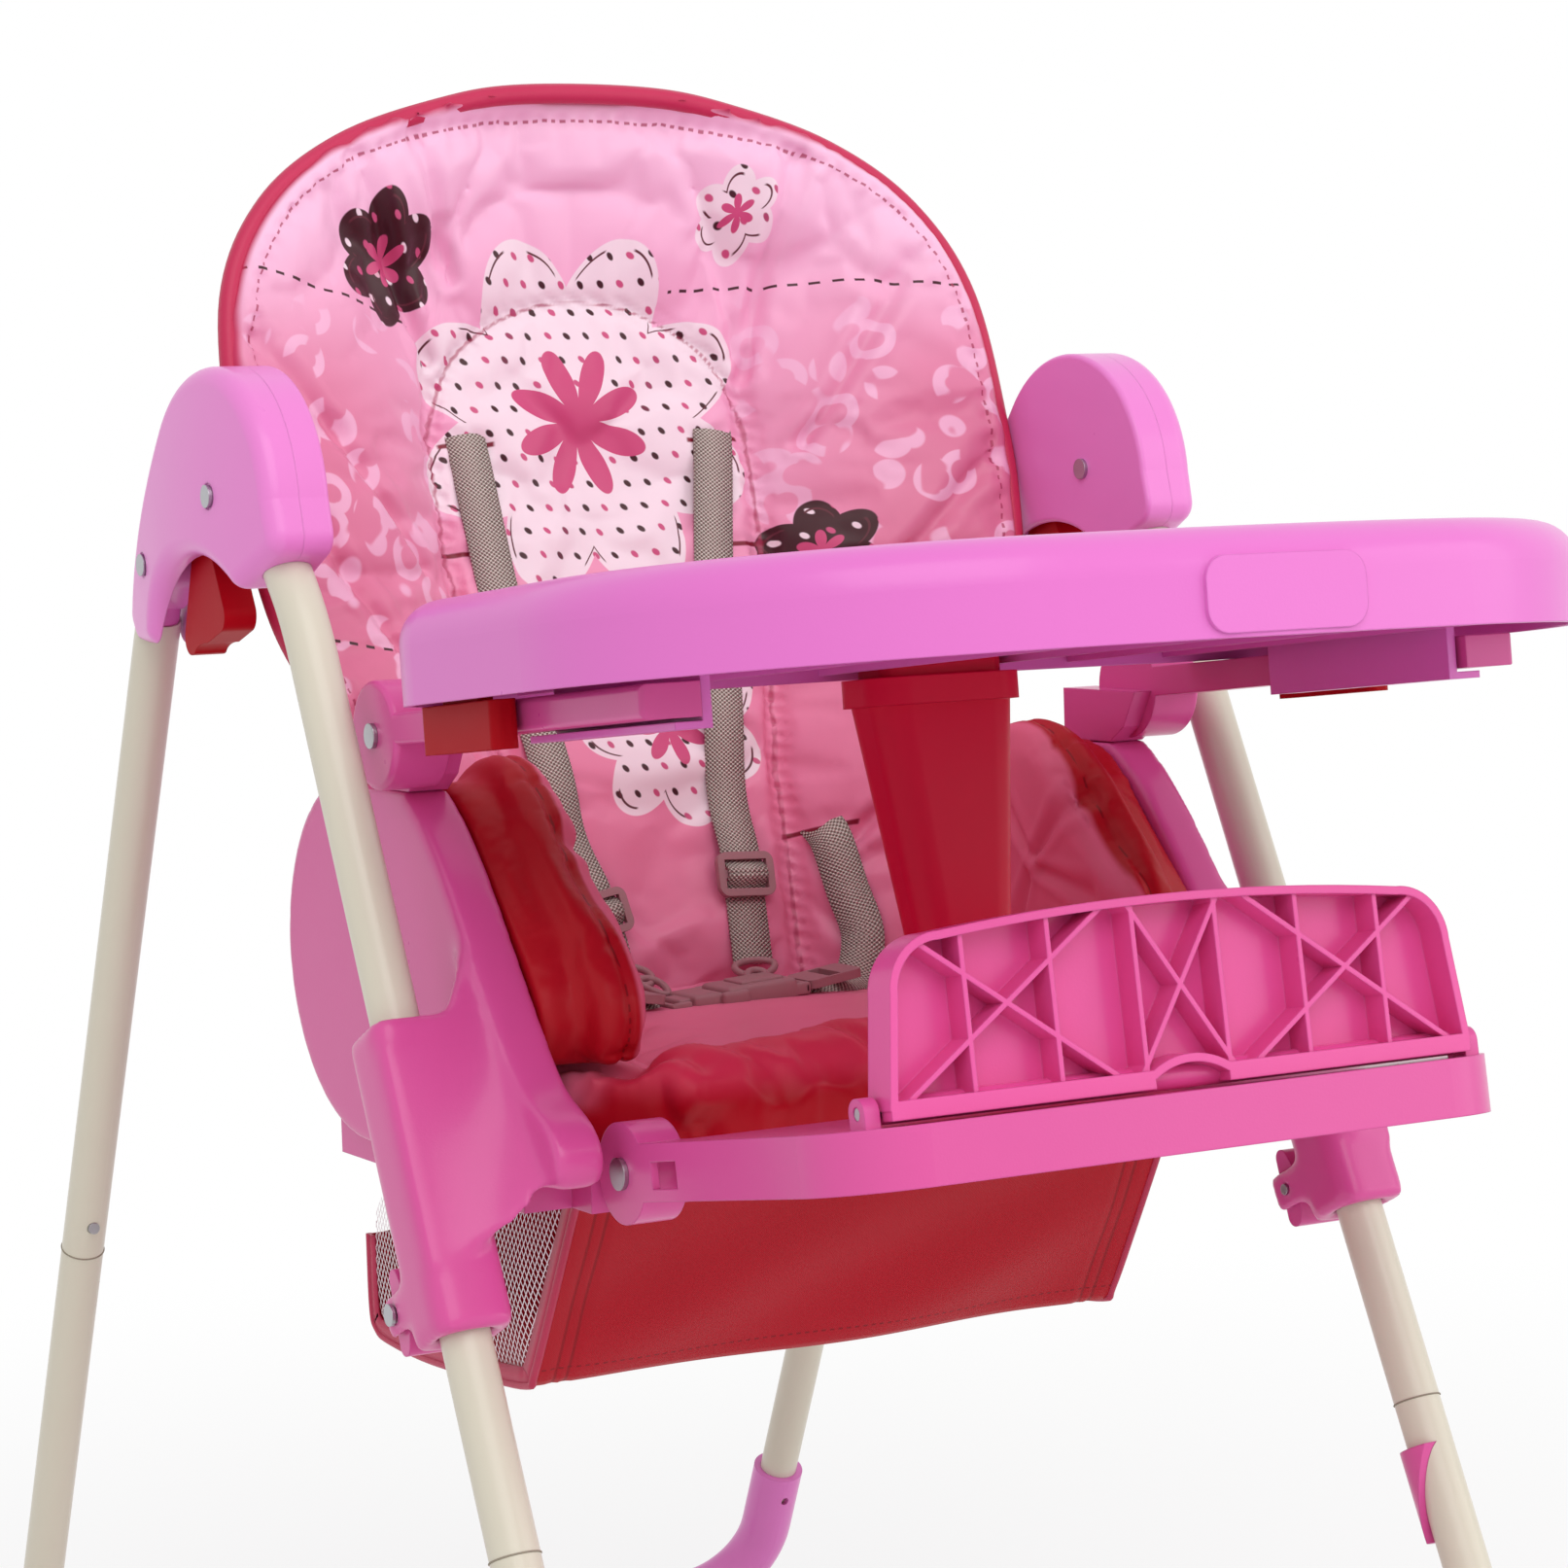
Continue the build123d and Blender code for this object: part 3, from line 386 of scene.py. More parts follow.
def seat_vinyl():
    """Pink on the sitting face and red over the front roll, with painted shade: a deeper red where the
    roll turns down.
    """
    g = Graph("seat_vinyl", None, 0.4, Specular_IOR_Level=0.22)
    p = g.place()
    _, y, z = g.axes(p)
    cloud = g.noise(p, 9.0, 3.0)
    # Painted shade: the red is made deeper below the crest of the roll, where it turns down.
    low = g.mix(cloud, rgb(190, 10, 34), rgb(172, 8, 26))
    crest = g.mix(cloud, rgb(228, 62, 96), rgb(216, 50, 82))
    front = g.mix(z.step(0.500, 0.520), low, crest)
    sitting = (y - SHIFT).step(-0.238, -0.206)
    g.set("Base Color", g.mix(sitting * z.step(0.494, 0.504), front, rgb(244, 128, 164)))
    g.set("Roughness", 0.36 + 0.08 * g.noise(p, 50.0, 2.0))
    g.bump(g.noise(p, 1500.0, 2.0) * 0.12 + g.noise(p, 30.0, 3.0), 0.0016, 0.3)
    return g.material


def bolster_vinyl():
    """Rosy pink towards the child, deep red outside, with a stitched seam between."""
    g = Graph("bolster_vinyl", None, 0.42, Specular_IOR_Level=0.2)
    p = g.place()
    x, y, z = g.axes(p)
    cloud = g.noise(p, 9.0, 3.0)
    red = g.mix(cloud, rgb(188, 14, 34), rgb(168, 10, 24))
    pink = g.mix(cloud, rgb(232, 116, 148), rgb(222, 100, 132))
    colour = g.mix(abs(x).step(BOLSTER_SEAM - 0.008, BOLSTER_SEAM - 0.004), pink, red)
    thread = ((z - y) * (2.0 * math.pi / 0.006)).math("SINE").step(-0.3, 0.1)
    stitch = abs(abs(x) - BOLSTER_SEAM).below(0.0006, 0.0003) * thread
    g.set("Base Color", g.mix(stitch * 0.7, colour, rgb(112, 4, 16)))
    g.set("Roughness", 0.38 + 0.08 * g.noise(p, 50.0, 2.0))
    g.bump(g.noise(p, 1500.0, 2.0) * 0.12 + g.noise(p, 34.0, 3.0), 0.0016, 0.3)
    return g.material


def webbing():
    """Ribbed harness webbing with closer woven edges, and painted light and shade on its weave."""
    g = Graph("webbing", None, 0.75, Specular_IOR_Level=0.25)
    u, v = g.weave()
    ribs = (v * (2.0 * math.pi / 0.0024)).math("SINE")
    lanes = (u * (2.0 * math.pi / 0.0030)).math("SINE")
    weave = ribs * lanes
    selvedge = abs(u).step(0.0105, 0.0122)
    # Painted light and shade: pale on the weave's ridges and dark in its dips, from the same pattern as
    # the bump.
    thread = g.mix(weave.step(-0.5, 0.5), rgb(128, 108, 100), rgb(232, 222, 212))
    g.set("Base Color", g.mix(selvedge * 0.5, thread, rgb(166, 148, 140)))
    g.bump(weave, 0.0006, 1.0)
    return g.material


def basket_fabric(name, colour, shade):
    """Coated cloth with a fine weave, double seams by its edges and a stitched hem."""
    g = Graph(name, None, 0.46, Specular_IOR_Level=0.2)
    p = g.place()
    tint = g.mix(g.noise(p, 7.0, 3.0), colour, shade)
    u, v = g.weave()
    for inset in BASKET_SEAMS:
        seam = abs(abs(u) - (BASKET_HALF - inset)).below(0.0009, 0.0005)
        tint = g.mix(seam * 0.55, tint, rgb(120, 8, 20))
    stitch = (u * (2.0 * math.pi / 0.005)).math("SINE").step(-0.3, 0.1)
    tint = g.mix(abs(v - BASKET_HEM).below(0.0006, 0.0003) * stitch * 0.7, tint, rgb(116, 10, 24))
    g.set("Base Color", tint)
    weave = (u * 4200.0).math("SINE") * (v * 4200.0).math("SINE")
    g.bump(weave * 0.1 + g.noise(p, 16.0, 3.0), 0.002, 0.25)
    return g.material


def netting():
    """White net with open diamonds."""
    g = Graph("netting", rgb(240, 224, 230), 0.7)
    u, v = g.weave()
    pitch = math.pi / 0.0046
    a = abs(((u + v * 0.7) * pitch).math("SINE"))
    b = abs(((u - v * 0.7) * pitch).math("SINE"))
    g.set("Alpha", a.math("MINIMUM", b).below(0.32, 0.1))
    return g.material


# Mesh helpers

def add_object(name, mesh):
    obj = bpy.data.objects.new(name, mesh)
    bpy.context.scene.collection.objects.link(obj)
    return obj


def from_bmesh(name, bm):
    bmesh.ops.recalc_face_normals(bm, faces=bm.faces[:])
    mesh = bpy.data.meshes.new(name)
    bm.to_mesh(mesh)
    bm.free()
    mesh.shade_smooth()
    return add_object(name, mesh)


def bake(obj):
    """Applies every modifier to the object's mesh."""
    bpy.context.view_layer.update()
    shown = obj.evaluated_get(bpy.context.evaluated_depsgraph_get())
    mesh = bpy.data.meshes.new_from_object(shown)
    old = obj.data
    obj.modifiers.clear()
    obj.data = mesh
    bpy.data.meshes.remove(old)
    obj.data.shade_smooth()


def coords(obj):
    co = np.zeros(len(obj.data.vertices) * 3, np.float32)
    obj.data.vertices.foreach_get("co", co)
    return co.reshape(-1, 3).astype(float)


def set_coords(obj, co):
    obj.data.vertices.foreach_set("co", co.astype(np.float32).ravel())
    obj.data.update()


def normals(obj):
    no = np.zeros(len(obj.data.vertices) * 3, np.float32)
    obj.data.vertices.foreach_get("normal", no)
    return no.reshape(-1, 3).astype(float)


def cad_copy(node, name, voxel):
    """Closed copy of a CAD solid, remeshed in even quads."""
    bm = bmesh.new()
    bm.from_mesh(frame["nodes"][node].data)
    bmesh.ops.remove_doubles(bm, verts=bm.verts[:], dist=1e-5)
    obj = from_bmesh(name, bm)
    remesh = obj.modifiers.new("even", "REMESH")
    remesh.mode = "VOXEL"
    remesh.voxel_size = voxel
    bake(obj)
    smooth(obj, 4)
    return obj


def smooth(obj, rounds):
    flow = obj.modifiers.new("smooth", "SMOOTH")
    flow.factor = 0.5
    flow.iterations = rounds
    bake(obj)


def capped(vectors, least, most):
    """Vectors along the rows, lengthened to the least or shortened to the most length."""
    far = np.maximum(np.linalg.norm(vectors, axis=1, keepdims=True), 1e-9)
    return vectors * np.clip(far, least, most) / far


def inflate(obj, pinned, pressure, cap, frames=18):
    """Swells a cover under air pressure between its sewn lines."""
    group = obj.vertex_groups.new(name="sewn")
    group.add([int(i) for i in np.nonzero(pinned)[0]], 1.0, "REPLACE")
    before = coords(obj)
    cloth_mod = obj.modifiers.new("cover", "CLOTH")
    settings = cloth_mod.settings
    settings.use_pressure = True
    settings.uniform_pressure_force = pressure
    settings.effector_weights.gravity = 0.0
    settings.vertex_group_mass = "sewn"
    settings.quality = 5
    settings.mass = 0.3
    settings.tension_stiffness = 12.0
    settings.compression_stiffness = 12.0
    settings.shear_stiffness = 6.0
    settings.bending_stiffness = 0.4
    settings.shrink_min = -0.03
    cloth_mod.collision_settings.use_collision = False
    cloth_mod.point_cache.frame_start = 1
    cloth_mod.point_cache.frame_end = frames
    for step in range(1, frames + 1):
        bpy.context.scene.frame_set(step)
    bake(obj)
    set_coords(obj, before + capped(coords(obj) - before, 0.0, cap))
    obj.vertex_groups.clear()
    bpy.context.scene.frame_set(1)


def subdivide(obj):
    sub = obj.modifiers.new("fine", "SUBSURF")
    sub.levels = 1
    sub.render_levels = 1
    bake(obj)


def paint(obj, material):
    obj.data.materials.clear()
    obj.data.materials.append(material)


def curve_through(points, steps):
    """Points along a smooth curve through the given points."""
    pts = [Vector(p) for p in points]
    pts = [2 * pts[0] - pts[1]] + pts + [2 * pts[-1] - pts[-2]]
    out = []
    for k in range(1, len(pts) - 2):
        a, b, c, d = pts[k - 1:k + 3]
        for i in range(steps):
            t = i / steps
            out.append(0.5 * (2 * b + (c - a) * t + (2 * a - 5 * b + 4 * c - d) * t ** 2
                              + (3 * b - a - 3 * c + d) * t ** 3))
    out.append(pts[-2])
    return out


def walk(path):
    """Length of a path, and a function from a share of it to the point there."""
    marks = np.concatenate([[0.0], np.cumsum([(b - a).length for a, b in zip(path, path[1:])])])
    points = np.array(path)

    def at(share):
        return Vector([np.interp(share * marks[-1], marks, points[:, k]) for k in range(3)])
    return marks[-1], at


def thicken(obj, thick):
    wall = obj.modifiers.new("thick", "SOLIDIFY")
    wall.thickness = thick
    wall.offset = 0.0
    bake(obj)


def ribbon(name, points, fronts, width=0.025, thick=0.0016, steps=14):
    """Flat webbing along points, facing the given front directions."""
    path = curve_through(points, steps)
    faces_to = curve_through(fronts, steps)
    bm = bmesh.new()
    weave = bm.verts.layers.float_vector.new("weave")
    pair = [bm.verts.new(path[0]), bm.verts.new(path[0])]
    edge = bm.edges.new(pair)
    length = 0.0
    for k, p in enumerate(path):
        ahead = (path[min(k + 1, len(path) - 1)] - path[max(k - 1, 0)]).normalized()
        across = ahead.cross(faces_to[k]).normalized()
        if k:
            length += (p - path[k - 1]).length
            grown = bmesh.ops.extrude_edge_only(bm, edges=[edge])["geom"]
            edge = [part for part in grown if isinstance(part, bmesh.types.BMEdge)][0]
            pair = sorted(edge.verts, key=lambda v: (v.co - pair[0].co).length)
        for vert, share in zip(pair, (-0.5, 0.5)):
            vert.co = p + across * (share * width)
            vert[weave] = (share * width, length, 0.0)
    made = from_bmesh(name, bm)
    thicken(made, thick)
    return made


def tube(name, path, radius, closed=False):
    """Round trim of one thickness along a path."""
    curve = bpy.data.curves.new(name, "CURVE")
    curve.dimensions = "3D"
    curve.bevel_depth = radius
    curve.bevel_resolution = 3
    curve.use_fill_caps = True
    spline = curve.splines.new("POLY")
    spline.points.add(len(path) - 1)
    for point, place in zip(spline.points, path):
        point.co = (*place, 1.0)
    spline.use_cyclic_u = closed
    shown = bpy.data.objects.new(name + ".line", curve)
    mesh = bpy.data.meshes.new_from_object(shown)
    bpy.data.objects.remove(shown)
    mesh.name = name
    mesh.shade_smooth()
    return add_object(name, mesh)


def drape(name, columns, rows, place):
    """Sheet from a grid: place gives each point, and where it lies on the flat cut."""
    bm = bmesh.new()
    weave = bm.verts.layers.float_vector.new("weave")
    bmesh.ops.create_grid(bm, x_segments=columns, y_segments=rows, size=0.5)
    for vert in bm.verts:
        vert.co, vert[weave] = place(vert.co.x + 0.5, vert.co.y + 0.5)
    return from_bmesh(name, bm)


def dressed(obj, material, body, *nodes):
    """Paints a piece, puts it on its body and hides the nodes that it stands for."""
    paint(obj, material)
    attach(obj, body)
    if nodes:
        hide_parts(*nodes)
    return obj


# Backrest cover

def back_point(x, up, n):
    """Point across, up and in front of the back's plane."""
    s, c = math.sin(BACK_LEAN), math.cos(BACK_LEAN)
    return Vector((x, BACK_FOOT[0] + up * s - n * c, BACK_FOOT[1] + up * c + n * s))


FORWARD = Vector((0, -math.cos(BACK_LEAN), math.sin(BACK_LEAN)))
UPWARD = Vector((0, math.sin(BACK_LEAN), math.cos(BACK_LEAN)))


def back_outline(inset, n, per=10):
    """Path round the back's edge, from the lower right up and over to the lower left."""
    side = [(half - inset, up - (inset if up > 0.5 else 0.0)) for up, half in BACK_STATIONS]
    right = [Vector((h, u, n)) for h, u in side]
    left = [Vector((-h, u, n)) for h, u in reversed(side)]
    return [back_point(*p) for p in curve_through(right + left, per)]


def rim_fields(obj):
    """Each point's distance from the back's edge, its place along that edge and its flat place."""
    co = coords(obj)
    foot = back_point(0, 0, 0)
    edge = np.array([[p.x, (p - foot).dot(UPWARD)] for p in back_outline(0.0, 0.0)])
    flat = np.stack([co[:, 0], (co - np.array(foot)) @ np.array(UPWARD)], axis=1)
    run = np.concatenate([[0.0], np.cumsum(np.linalg.norm(np.diff(edge, axis=0), axis=1))])
    best = np.full(len(co), FAR)
    place = np.zeros(len(co))
    for k in range(len(edge) - 1):
        a, b = edge[k], edge[k + 1]
        d = b - a
        t = np.clip(((flat - a) @ d) / (d @ d), 0.0, 1.0)
        gap = np.linalg.norm(flat - a - t[:, None] * d, axis=1)
        near = gap < best
        best[near] = gap[near]
        place[near] = run[k] + t[near] * (run[k + 1] - run[k])
    return best, place, flat


def half_at(up):
    """Half-width of the back at a height."""
    table = np.array(BACK_STATIONS)
    return np.interp(up, table[:, 0], table[:, 1])


def groove(obj, near, depth, width):
    """Draws the surface in along a sewn line, given each point's distance from it."""
    pull = depth * np.exp(-((near / width) ** 2))
    set_coords(obj, coords(obj) - normals(obj) * pull[:, None])


def arch_gap(flat):
    """Distance from the two sewn channels and the arch that joins them."""
    x, up = flat[:, 0], flat[:, 1]
    legs = np.abs(np.abs(x) - CHANNEL * half_at(up))
    crown = np.abs(np.hypot(x / ARCH_HALF, (up - ARCH_SPRING) / ARCH_RISE) - 1.0) * ARCH_RISE
    return np.where(up < ARCH_SPRING, legs, crown)


def slit_gap(flat, slit):
    """Distance from a harness slit, on either side, reckoned shorter across."""
    return np.hypot((np.abs(flat[:, 0]) - slit[0]) * 0.5, flat[:, 1] - slit[1])


def crease_gap(flat, crease):
    """Distance from a crease, growing towards its inner end so that it fades."""
    a, b = np.array(crease[0]), np.array(crease[1])
    share = np.clip(((flat - a) @ (b - a)) / ((b - a) @ (b - a)), 0.0, 1.0)
    gap = np.linalg.norm(flat - a - share[:, None] * (b - a), axis=1)
    return gap * (1.0 + share)


def keep_field(obj, name, values):
    """Keeps a number for each point, for the material to read."""
    layer = obj.data.attributes.get(name) or obj.data.attributes.new(name, "FLOAT", "POINT")
    layer.data.foreach_set("value", values.astype(np.float32))


def back_cover():
    """Back pad swelled between its sewn lines, with seams, creases and piping."""
    pad = cad_copy("back_cushion", "back_cover", 0.005)
    rim, _, flat = rim_fields(pad)
    front = normals(pad) @ np.array(FORWARD) > 0.1
    slits = np.minimum(*[slit_gap(flat, slit) for slit in SLITS[:2]])
    arch = arch_gap(flat)
    inflate(pad, ~front | (rim < 0.010) | (arch < 0.004) | (slits < 0.006), 3.0, 0.010)
    subdivide(pad)
    rim, along, flat = rim_fields(pad)
    front = normals(pad) @ np.array(FORWARD) > 0.05
    arch = arch_gap(flat)
    ripple = 1.0 + 0.5 * np.sin(along * (2.0 * math.pi / 0.013))
    groove(pad, np.where(front, np.abs(rim - RIM_SEAM), FAR), 0.0020 * ripple, 0.004)
    gather = 1.0 + 0.35 * np.sin((flat[:, 0] + 1.7 * flat[:, 1]) * (2.0 * math.pi / 0.014))
    groove(pad, np.where(front, arch, FAR), 0.0034 * gather, 0.0055)
    for crease in CREASES:
        gap = np.where(front, crease_gap(flat, crease), FAR)
        groove(pad, gap, 0.0050, 0.0075)
        groove(pad, np.abs(gap - 0.016), -0.0014, 0.0075)
    for slit in SLITS[:2]:
        groove(pad, np.where(front, slit_gap(flat, slit), FAR), 0.003, 0.008)
    keep_field(pad, "rim", rim)
    keep_field(pad, "along", along)
    keep_field(pad, "seam", arch)
    dressed(pad, PAD_PINK, "backrest", "back_cushion")
    dressed(tube("back_piping", back_outline(PIPING_IN, 0.001), PIPING_R), PAD_CRIMSON, "backrest")
    return pad


# Seat cover and side panels

def seat_cover():
    """Seat pad swelled on both sides of its sewn channels, creased at its front corners."""
    pad = cad_copy("seat_cushion", "seat_cover", 0.005)
    co = coords(pad)
    channel = np.abs(np.abs(co[:, 0]) - SEAT_CHANNEL)
    inflate(pad, (normals(pad)[:, 2] < -0.3) | (channel < 0.004), 3.0, 0.007)
    subdivide(pad)
    co = coords(pad)
    flat = np.stack([np.abs(co[:, 0]), co[:, 1] - SHIFT], axis=1)
    for crease in SEAT_CREASES:
        gap = np.where(co[:, 2] > 0.48, crease_gap(flat, crease), FAR)
        groove(pad, gap, 0.0032, 0.006)
        groove(pad, np.abs(gap - 0.014), -0.0012, 0.007)
    dressed(pad, SEAT_VINYL, "seat", "seat_cushion")


SEAT_CHANNEL = 0.120         # sewn channel of the seat, from its middle
# Creases of the seat's front, across and along Y
SEAT_CREASES = (
    ((0.092, -0.276), (0.150, -0.200)),
    ((0.132, -0.262), (0.176, -0.196)),
    ((0.030, -0.280), (0.052, -0.236)),
)
BOLSTER_SEAM = 0.162         # seam along the bolster's front, from the middle of the seat
BOLSTER_OUT = 0.194          # beyond this and below the next the bolster is fastened
BOLSTER_LOW = 0.524
# Puckers of a bolster's inner face, along Y and Z
PUCKERS = (
    ((-0.168, 0.628), (-0.136, 0.596)),
    ((-0.098, 0.632), (-0.128, 0.600)),
    ((-0.190, 0.578), (-0.142, 0.588)),
    ((-0.112, 0.548), (-0.130, 0.584)),
    ((-0.200, 0.545), (-0.160, 0.560)),
)


def bolster(side):
    """Side pad with a sewn front edge and puckers towards the child."""
    name = "side_bolster_" + side
    way = 1.0 if side == "l" else -1.0
    pad = cad_copy(name, "bolster_cover_" + side, 0.004)
    co = coords(pad)
    inflate(pad, (np.abs(co[:, 0]) > BOLSTER_OUT) | (co[:, 2] < BOLSTER_LOW), 3.0, 0.005)
    subdivide(pad)
    co = coords(pad)
    turned = normals(pad)[:, 0] * way
    seam = np.where(np.abs(turned) < 0.8, np.abs(np.abs(co[:, 0]) - BOLSTER_SEAM), FAR)
    groove(pad, seam, 0.0024, 0.0026)
    flat = np.stack([co[:, 1] - SHIFT, co[:, 2]], axis=1)
    for pucker in PUCKERS:
        gap = np.where(turned < -0.4, crease_gap(flat, pucker), FAR)
        groove(pad, gap, 0.0034, 0.006)
        groove(pad, np.abs(gap - 0.013), -0.0012, 0.006)
    dressed(pad, BOLSTER_VINYL, "seat", name)


FOLD_HALF = 0.150
FOLD_SEAT = (-0.040, 0.5065)    # where the flap meets the seat, along Y and up
FOLD_UP = 0.042              # how far up the back the flap is sewn on


def cover_fold(cover):
    """Flap of the cover that closes the gap between the back and the seat."""
    def place(u, v):
        x = FOLD_HALF * (2.0 * u - 1.0)
        top = on_back(cover, x, FOLD_UP, -0.004)
        low = Vector((x, min(top.y - 0.016, SHIFT + FOLD_SEAT[0]), FOLD_SEAT[1]))
        p = top.lerp(low, v)
        p.z -= 0.009 * math.sin(math.pi * v)
        return p, (x, v * (top - low).length, 0.0)

    flap = drape("cover_fold", 60, 10, place)
    thicken(flap, 0.0016)
    paint(flap, PAD_ROSE)
    tuple(place(0.5, 0.1)[0])
    tuple(place(0.5, 0.9)[0])
    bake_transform(flap)
    area = 0.5 * sum(face.area for face in flap.data.polygons)
    wide = walk([place(k / 40, 0.0)[0] for k in range(41)])[0]
    deep = walk([place(0.5, k / 20)[0] for k in range(21)])[0]
    area = min(area, wide * deep)


# Side mouldings

def side_moulding(side):
    """Side panel with its ribs and edges run into each other, open round the leg."""
    name = "side_panel_" + side
    body = cad_copy(name, "side_moulding_" + side, 0.0025)
    smooth(body, 16)
    foot = np.array([LEG_X if side == "l" else -LEG_X, SHIFT - LEG_FOOT, LEG_FOOT_UP])
    way = np.array([0.0, math.sin(FRONT_LEAN), math.cos(FRONT_LEAN)])
    from_foot = coords(body) - foot
    along = (from_foot @ way)[:, None] * way
    set_coords(body, foot + along + capped(from_foot - along, LEG_BORE, math.inf))
    dressed(body, SLOT_FINISH["seat_pink"], "seat", name)


# Harness

def tree_of(obj):
    """Finished cover as a tree for finding its surface."""
    return BVHTree.FromPolygons(
        [v.co.copy() for v in obj.data.vertices],
        [tuple(face.vertices) for face in obj.data.polygons],
    )


def on_back(cover, x, up, lift):
    """Point on the back's cover, lifted off it towards the front."""
    hit = cover.ray_cast(back_point(x, up, 0.2), -FORWARD)[0]
    return (hit or back_point(x, up, -0.055)) + FORWARD * lift


def shoulder_strap(side, cover, route, slider, end):
    """Webbing from its slit down the back, over the slider's bar and into the hook."""
    x, up = slider
    slope = (route[-1][0] - end[0]) / (route[-1][1] - end[1])
    points = [on_back(cover, route[0][0], route[0][1] + 0.006, -0.008)]
    points += [on_back(cover, *place, STRAP_LIFT) for place in route]
    points += [back_point(x + slope * along, up + along, SLIDER_N + out) for along, out in WEAVE]
    points.append(back_point(*end, SLIDER_N - 0.002))
    strap = ribbon("shoulder_strap_" + side, points, [FORWARD] * len(points))
    paint(strap, WEBBING)
    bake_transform(strap)
    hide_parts("shoulder_straps")
    return points[-1]


def ring(name, top, foot, half, radius):
    """Plastic loop between two points, wider at its top."""
    path = []
    for k in range(36):
        a = 2.0 * math.pi * k / 36
        share = 0.5 + 0.5 * math.sin(a)
        out = half * (0.5 + 0.5 * share) * math.cos(a)
        path.append(foot.lerp(top, share) + Vector((out, 0.0, 0.0)))
    dressed(tube(name, path, radius, True), BUCKLE, "seat")


def blocks(name, rows, turn):
    """One moulding from rounded blocks: size, centre and rounding of each."""
    whole = bmesh.new()
    for size, centre, rounding in rows:
        bm = bmesh.new()
        bmesh.ops.create_cube(bm, size=1.0)
        bmesh.ops.scale(bm, vec=size, verts=bm.verts[:])
        bmesh.ops.bevel(bm, geom=bm.edges[:], offset=rounding, segments=3, profile=0.5,
                        affect="EDGES", material=-1)
        bmesh.ops.translate(bm, vec=centre, verts=bm.verts[:])
        piece = bpy.data.meshes.new(name)
        bm.to_mesh(piece)
        bm.free()
        whole.from_mesh(piece)
        bpy.data.meshes.remove(piece)
    bmesh.ops.transform(whole, matrix=turn, verts=whole.verts[:])
    return from_bmesh(name, whole)


def harness(cover):
    """Shoulder, waist and crotch webbing with hooks, links and the buckle."""
    for side, route, slider, end in STRAPS:
        s = 1.0 if side == "l" else -1.0
        foot = shoulder_strap(side, cover, route, slider, end)
        catch = Vector((s * CATCH[0], CATCH[1] + SHIFT, CATCH[2]))
        middle = foot.lerp(catch, 0.62)
        ring("strap_hook_" + side, foot + Vector((0.0, 0.0, 0.002)), middle, 0.0165, 0.0021)
        ring("strap_link_" + side, middle + Vector((0.0, 0.004, 0.0035)), catch, 0.0075, 0.0021)
        waist = [on_back(cover, s * x, up, lift) for x, up, lift in WAIST_BACK]
        waist += [Vector((s * x, y + SHIFT, z)) for x, y, z in WAIST_SEAT]
        fronts = [Vector((-0.6 * s, -0.78, 0.2))] * len(WAIST_BACK)
        fronts += [LAP_FRONT] * len(WAIST_SEAT)
        strap = ribbon("waist_strap_" + side, waist, fronts)
        paint(strap, WEBBING)
        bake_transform(strap)
        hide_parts("waist_straps")
    crotch = [Vector((0.0, y + SHIFT, z)) for y, z in CROTCH_ROUTE]
    strap = ribbon("crotch_webbing", crotch, [Vector((0.0, 0.1, 1.0))] * len(crotch))
    dressed(strap, WEBBING, "seat", "crotch_strap")
    turn = Matrix.Translation(BUCKLE_PLACE) @ Matrix.Rotation(BUCKLE_TILT, 4, "Y")
    dressed(blocks("buckle_body", BUCKLE_BLOCKS, turn), BUCKLE, "seat", "buckle")


LAP_FRONT = Vector((0.0, -0.37, 0.93))
STRAP_LIFT = 0.0026
SLIDER_N = -0.0466           # middle of a slider in front of the back's plane
# Side, places of the strap across and up the back, its slider and its end
STRAPS = (
    (
        "l",
        ((0.080, 0.362), (0.066, 0.280), (0.053, 0.202), (0.050, 0.150)),
        (0.048, 0.098),
        (0.0445, 0.046),
    ),
    (
        "r",
        ((-0.080, 0.362), (-0.074, 0.260), (-0.0635, 0.169), (-0.057, 0.129)),
        (-0.0475, 0.082),
        (-0.044, 0.050),
    ),
)
# Webbing through a slider: along the strap, and in front of the slider's middle
WEAVE = (
    (0.0170, -0.0046),
    (0.0095, -0.0036),
    (0.0027, 0.0033),
    (0.0, 0.0038),
    (-0.0027, 0.0033),
    (-0.0095, -0.0036),
    (-0.0170, -0.0036),
)
# Waist webbing on the back (across, up, lift) and over the seat (across, back, up)
WAIST_BACK = (
    (0.100, 0.126, -0.006),
    (0.101, 0.112, 0.003),
    (0.104, 0.082, 0.004),
    (0.105, 0.054, 0.007),
)
WAIST_SEAT = (
    (0.094, -0.026, 0.5235),
    (0.076, -0.039, 0.5220),
    (0.060, -0.044, 0.5210),
    (0.044, -0.044, 0.5205),
)
CATCH = (0.030, -0.028, 0.5235)    # where a strap's link meets the buckle
BUCKLE_PLACE = (0.0, SHIFT - 0.044, 0.5222)
BUCKLE_TILT = -0.06
CROTCH_ROUTE = ((-0.118, 0.5165), (-0.088, 0.518), (-0.060, 0.5195))
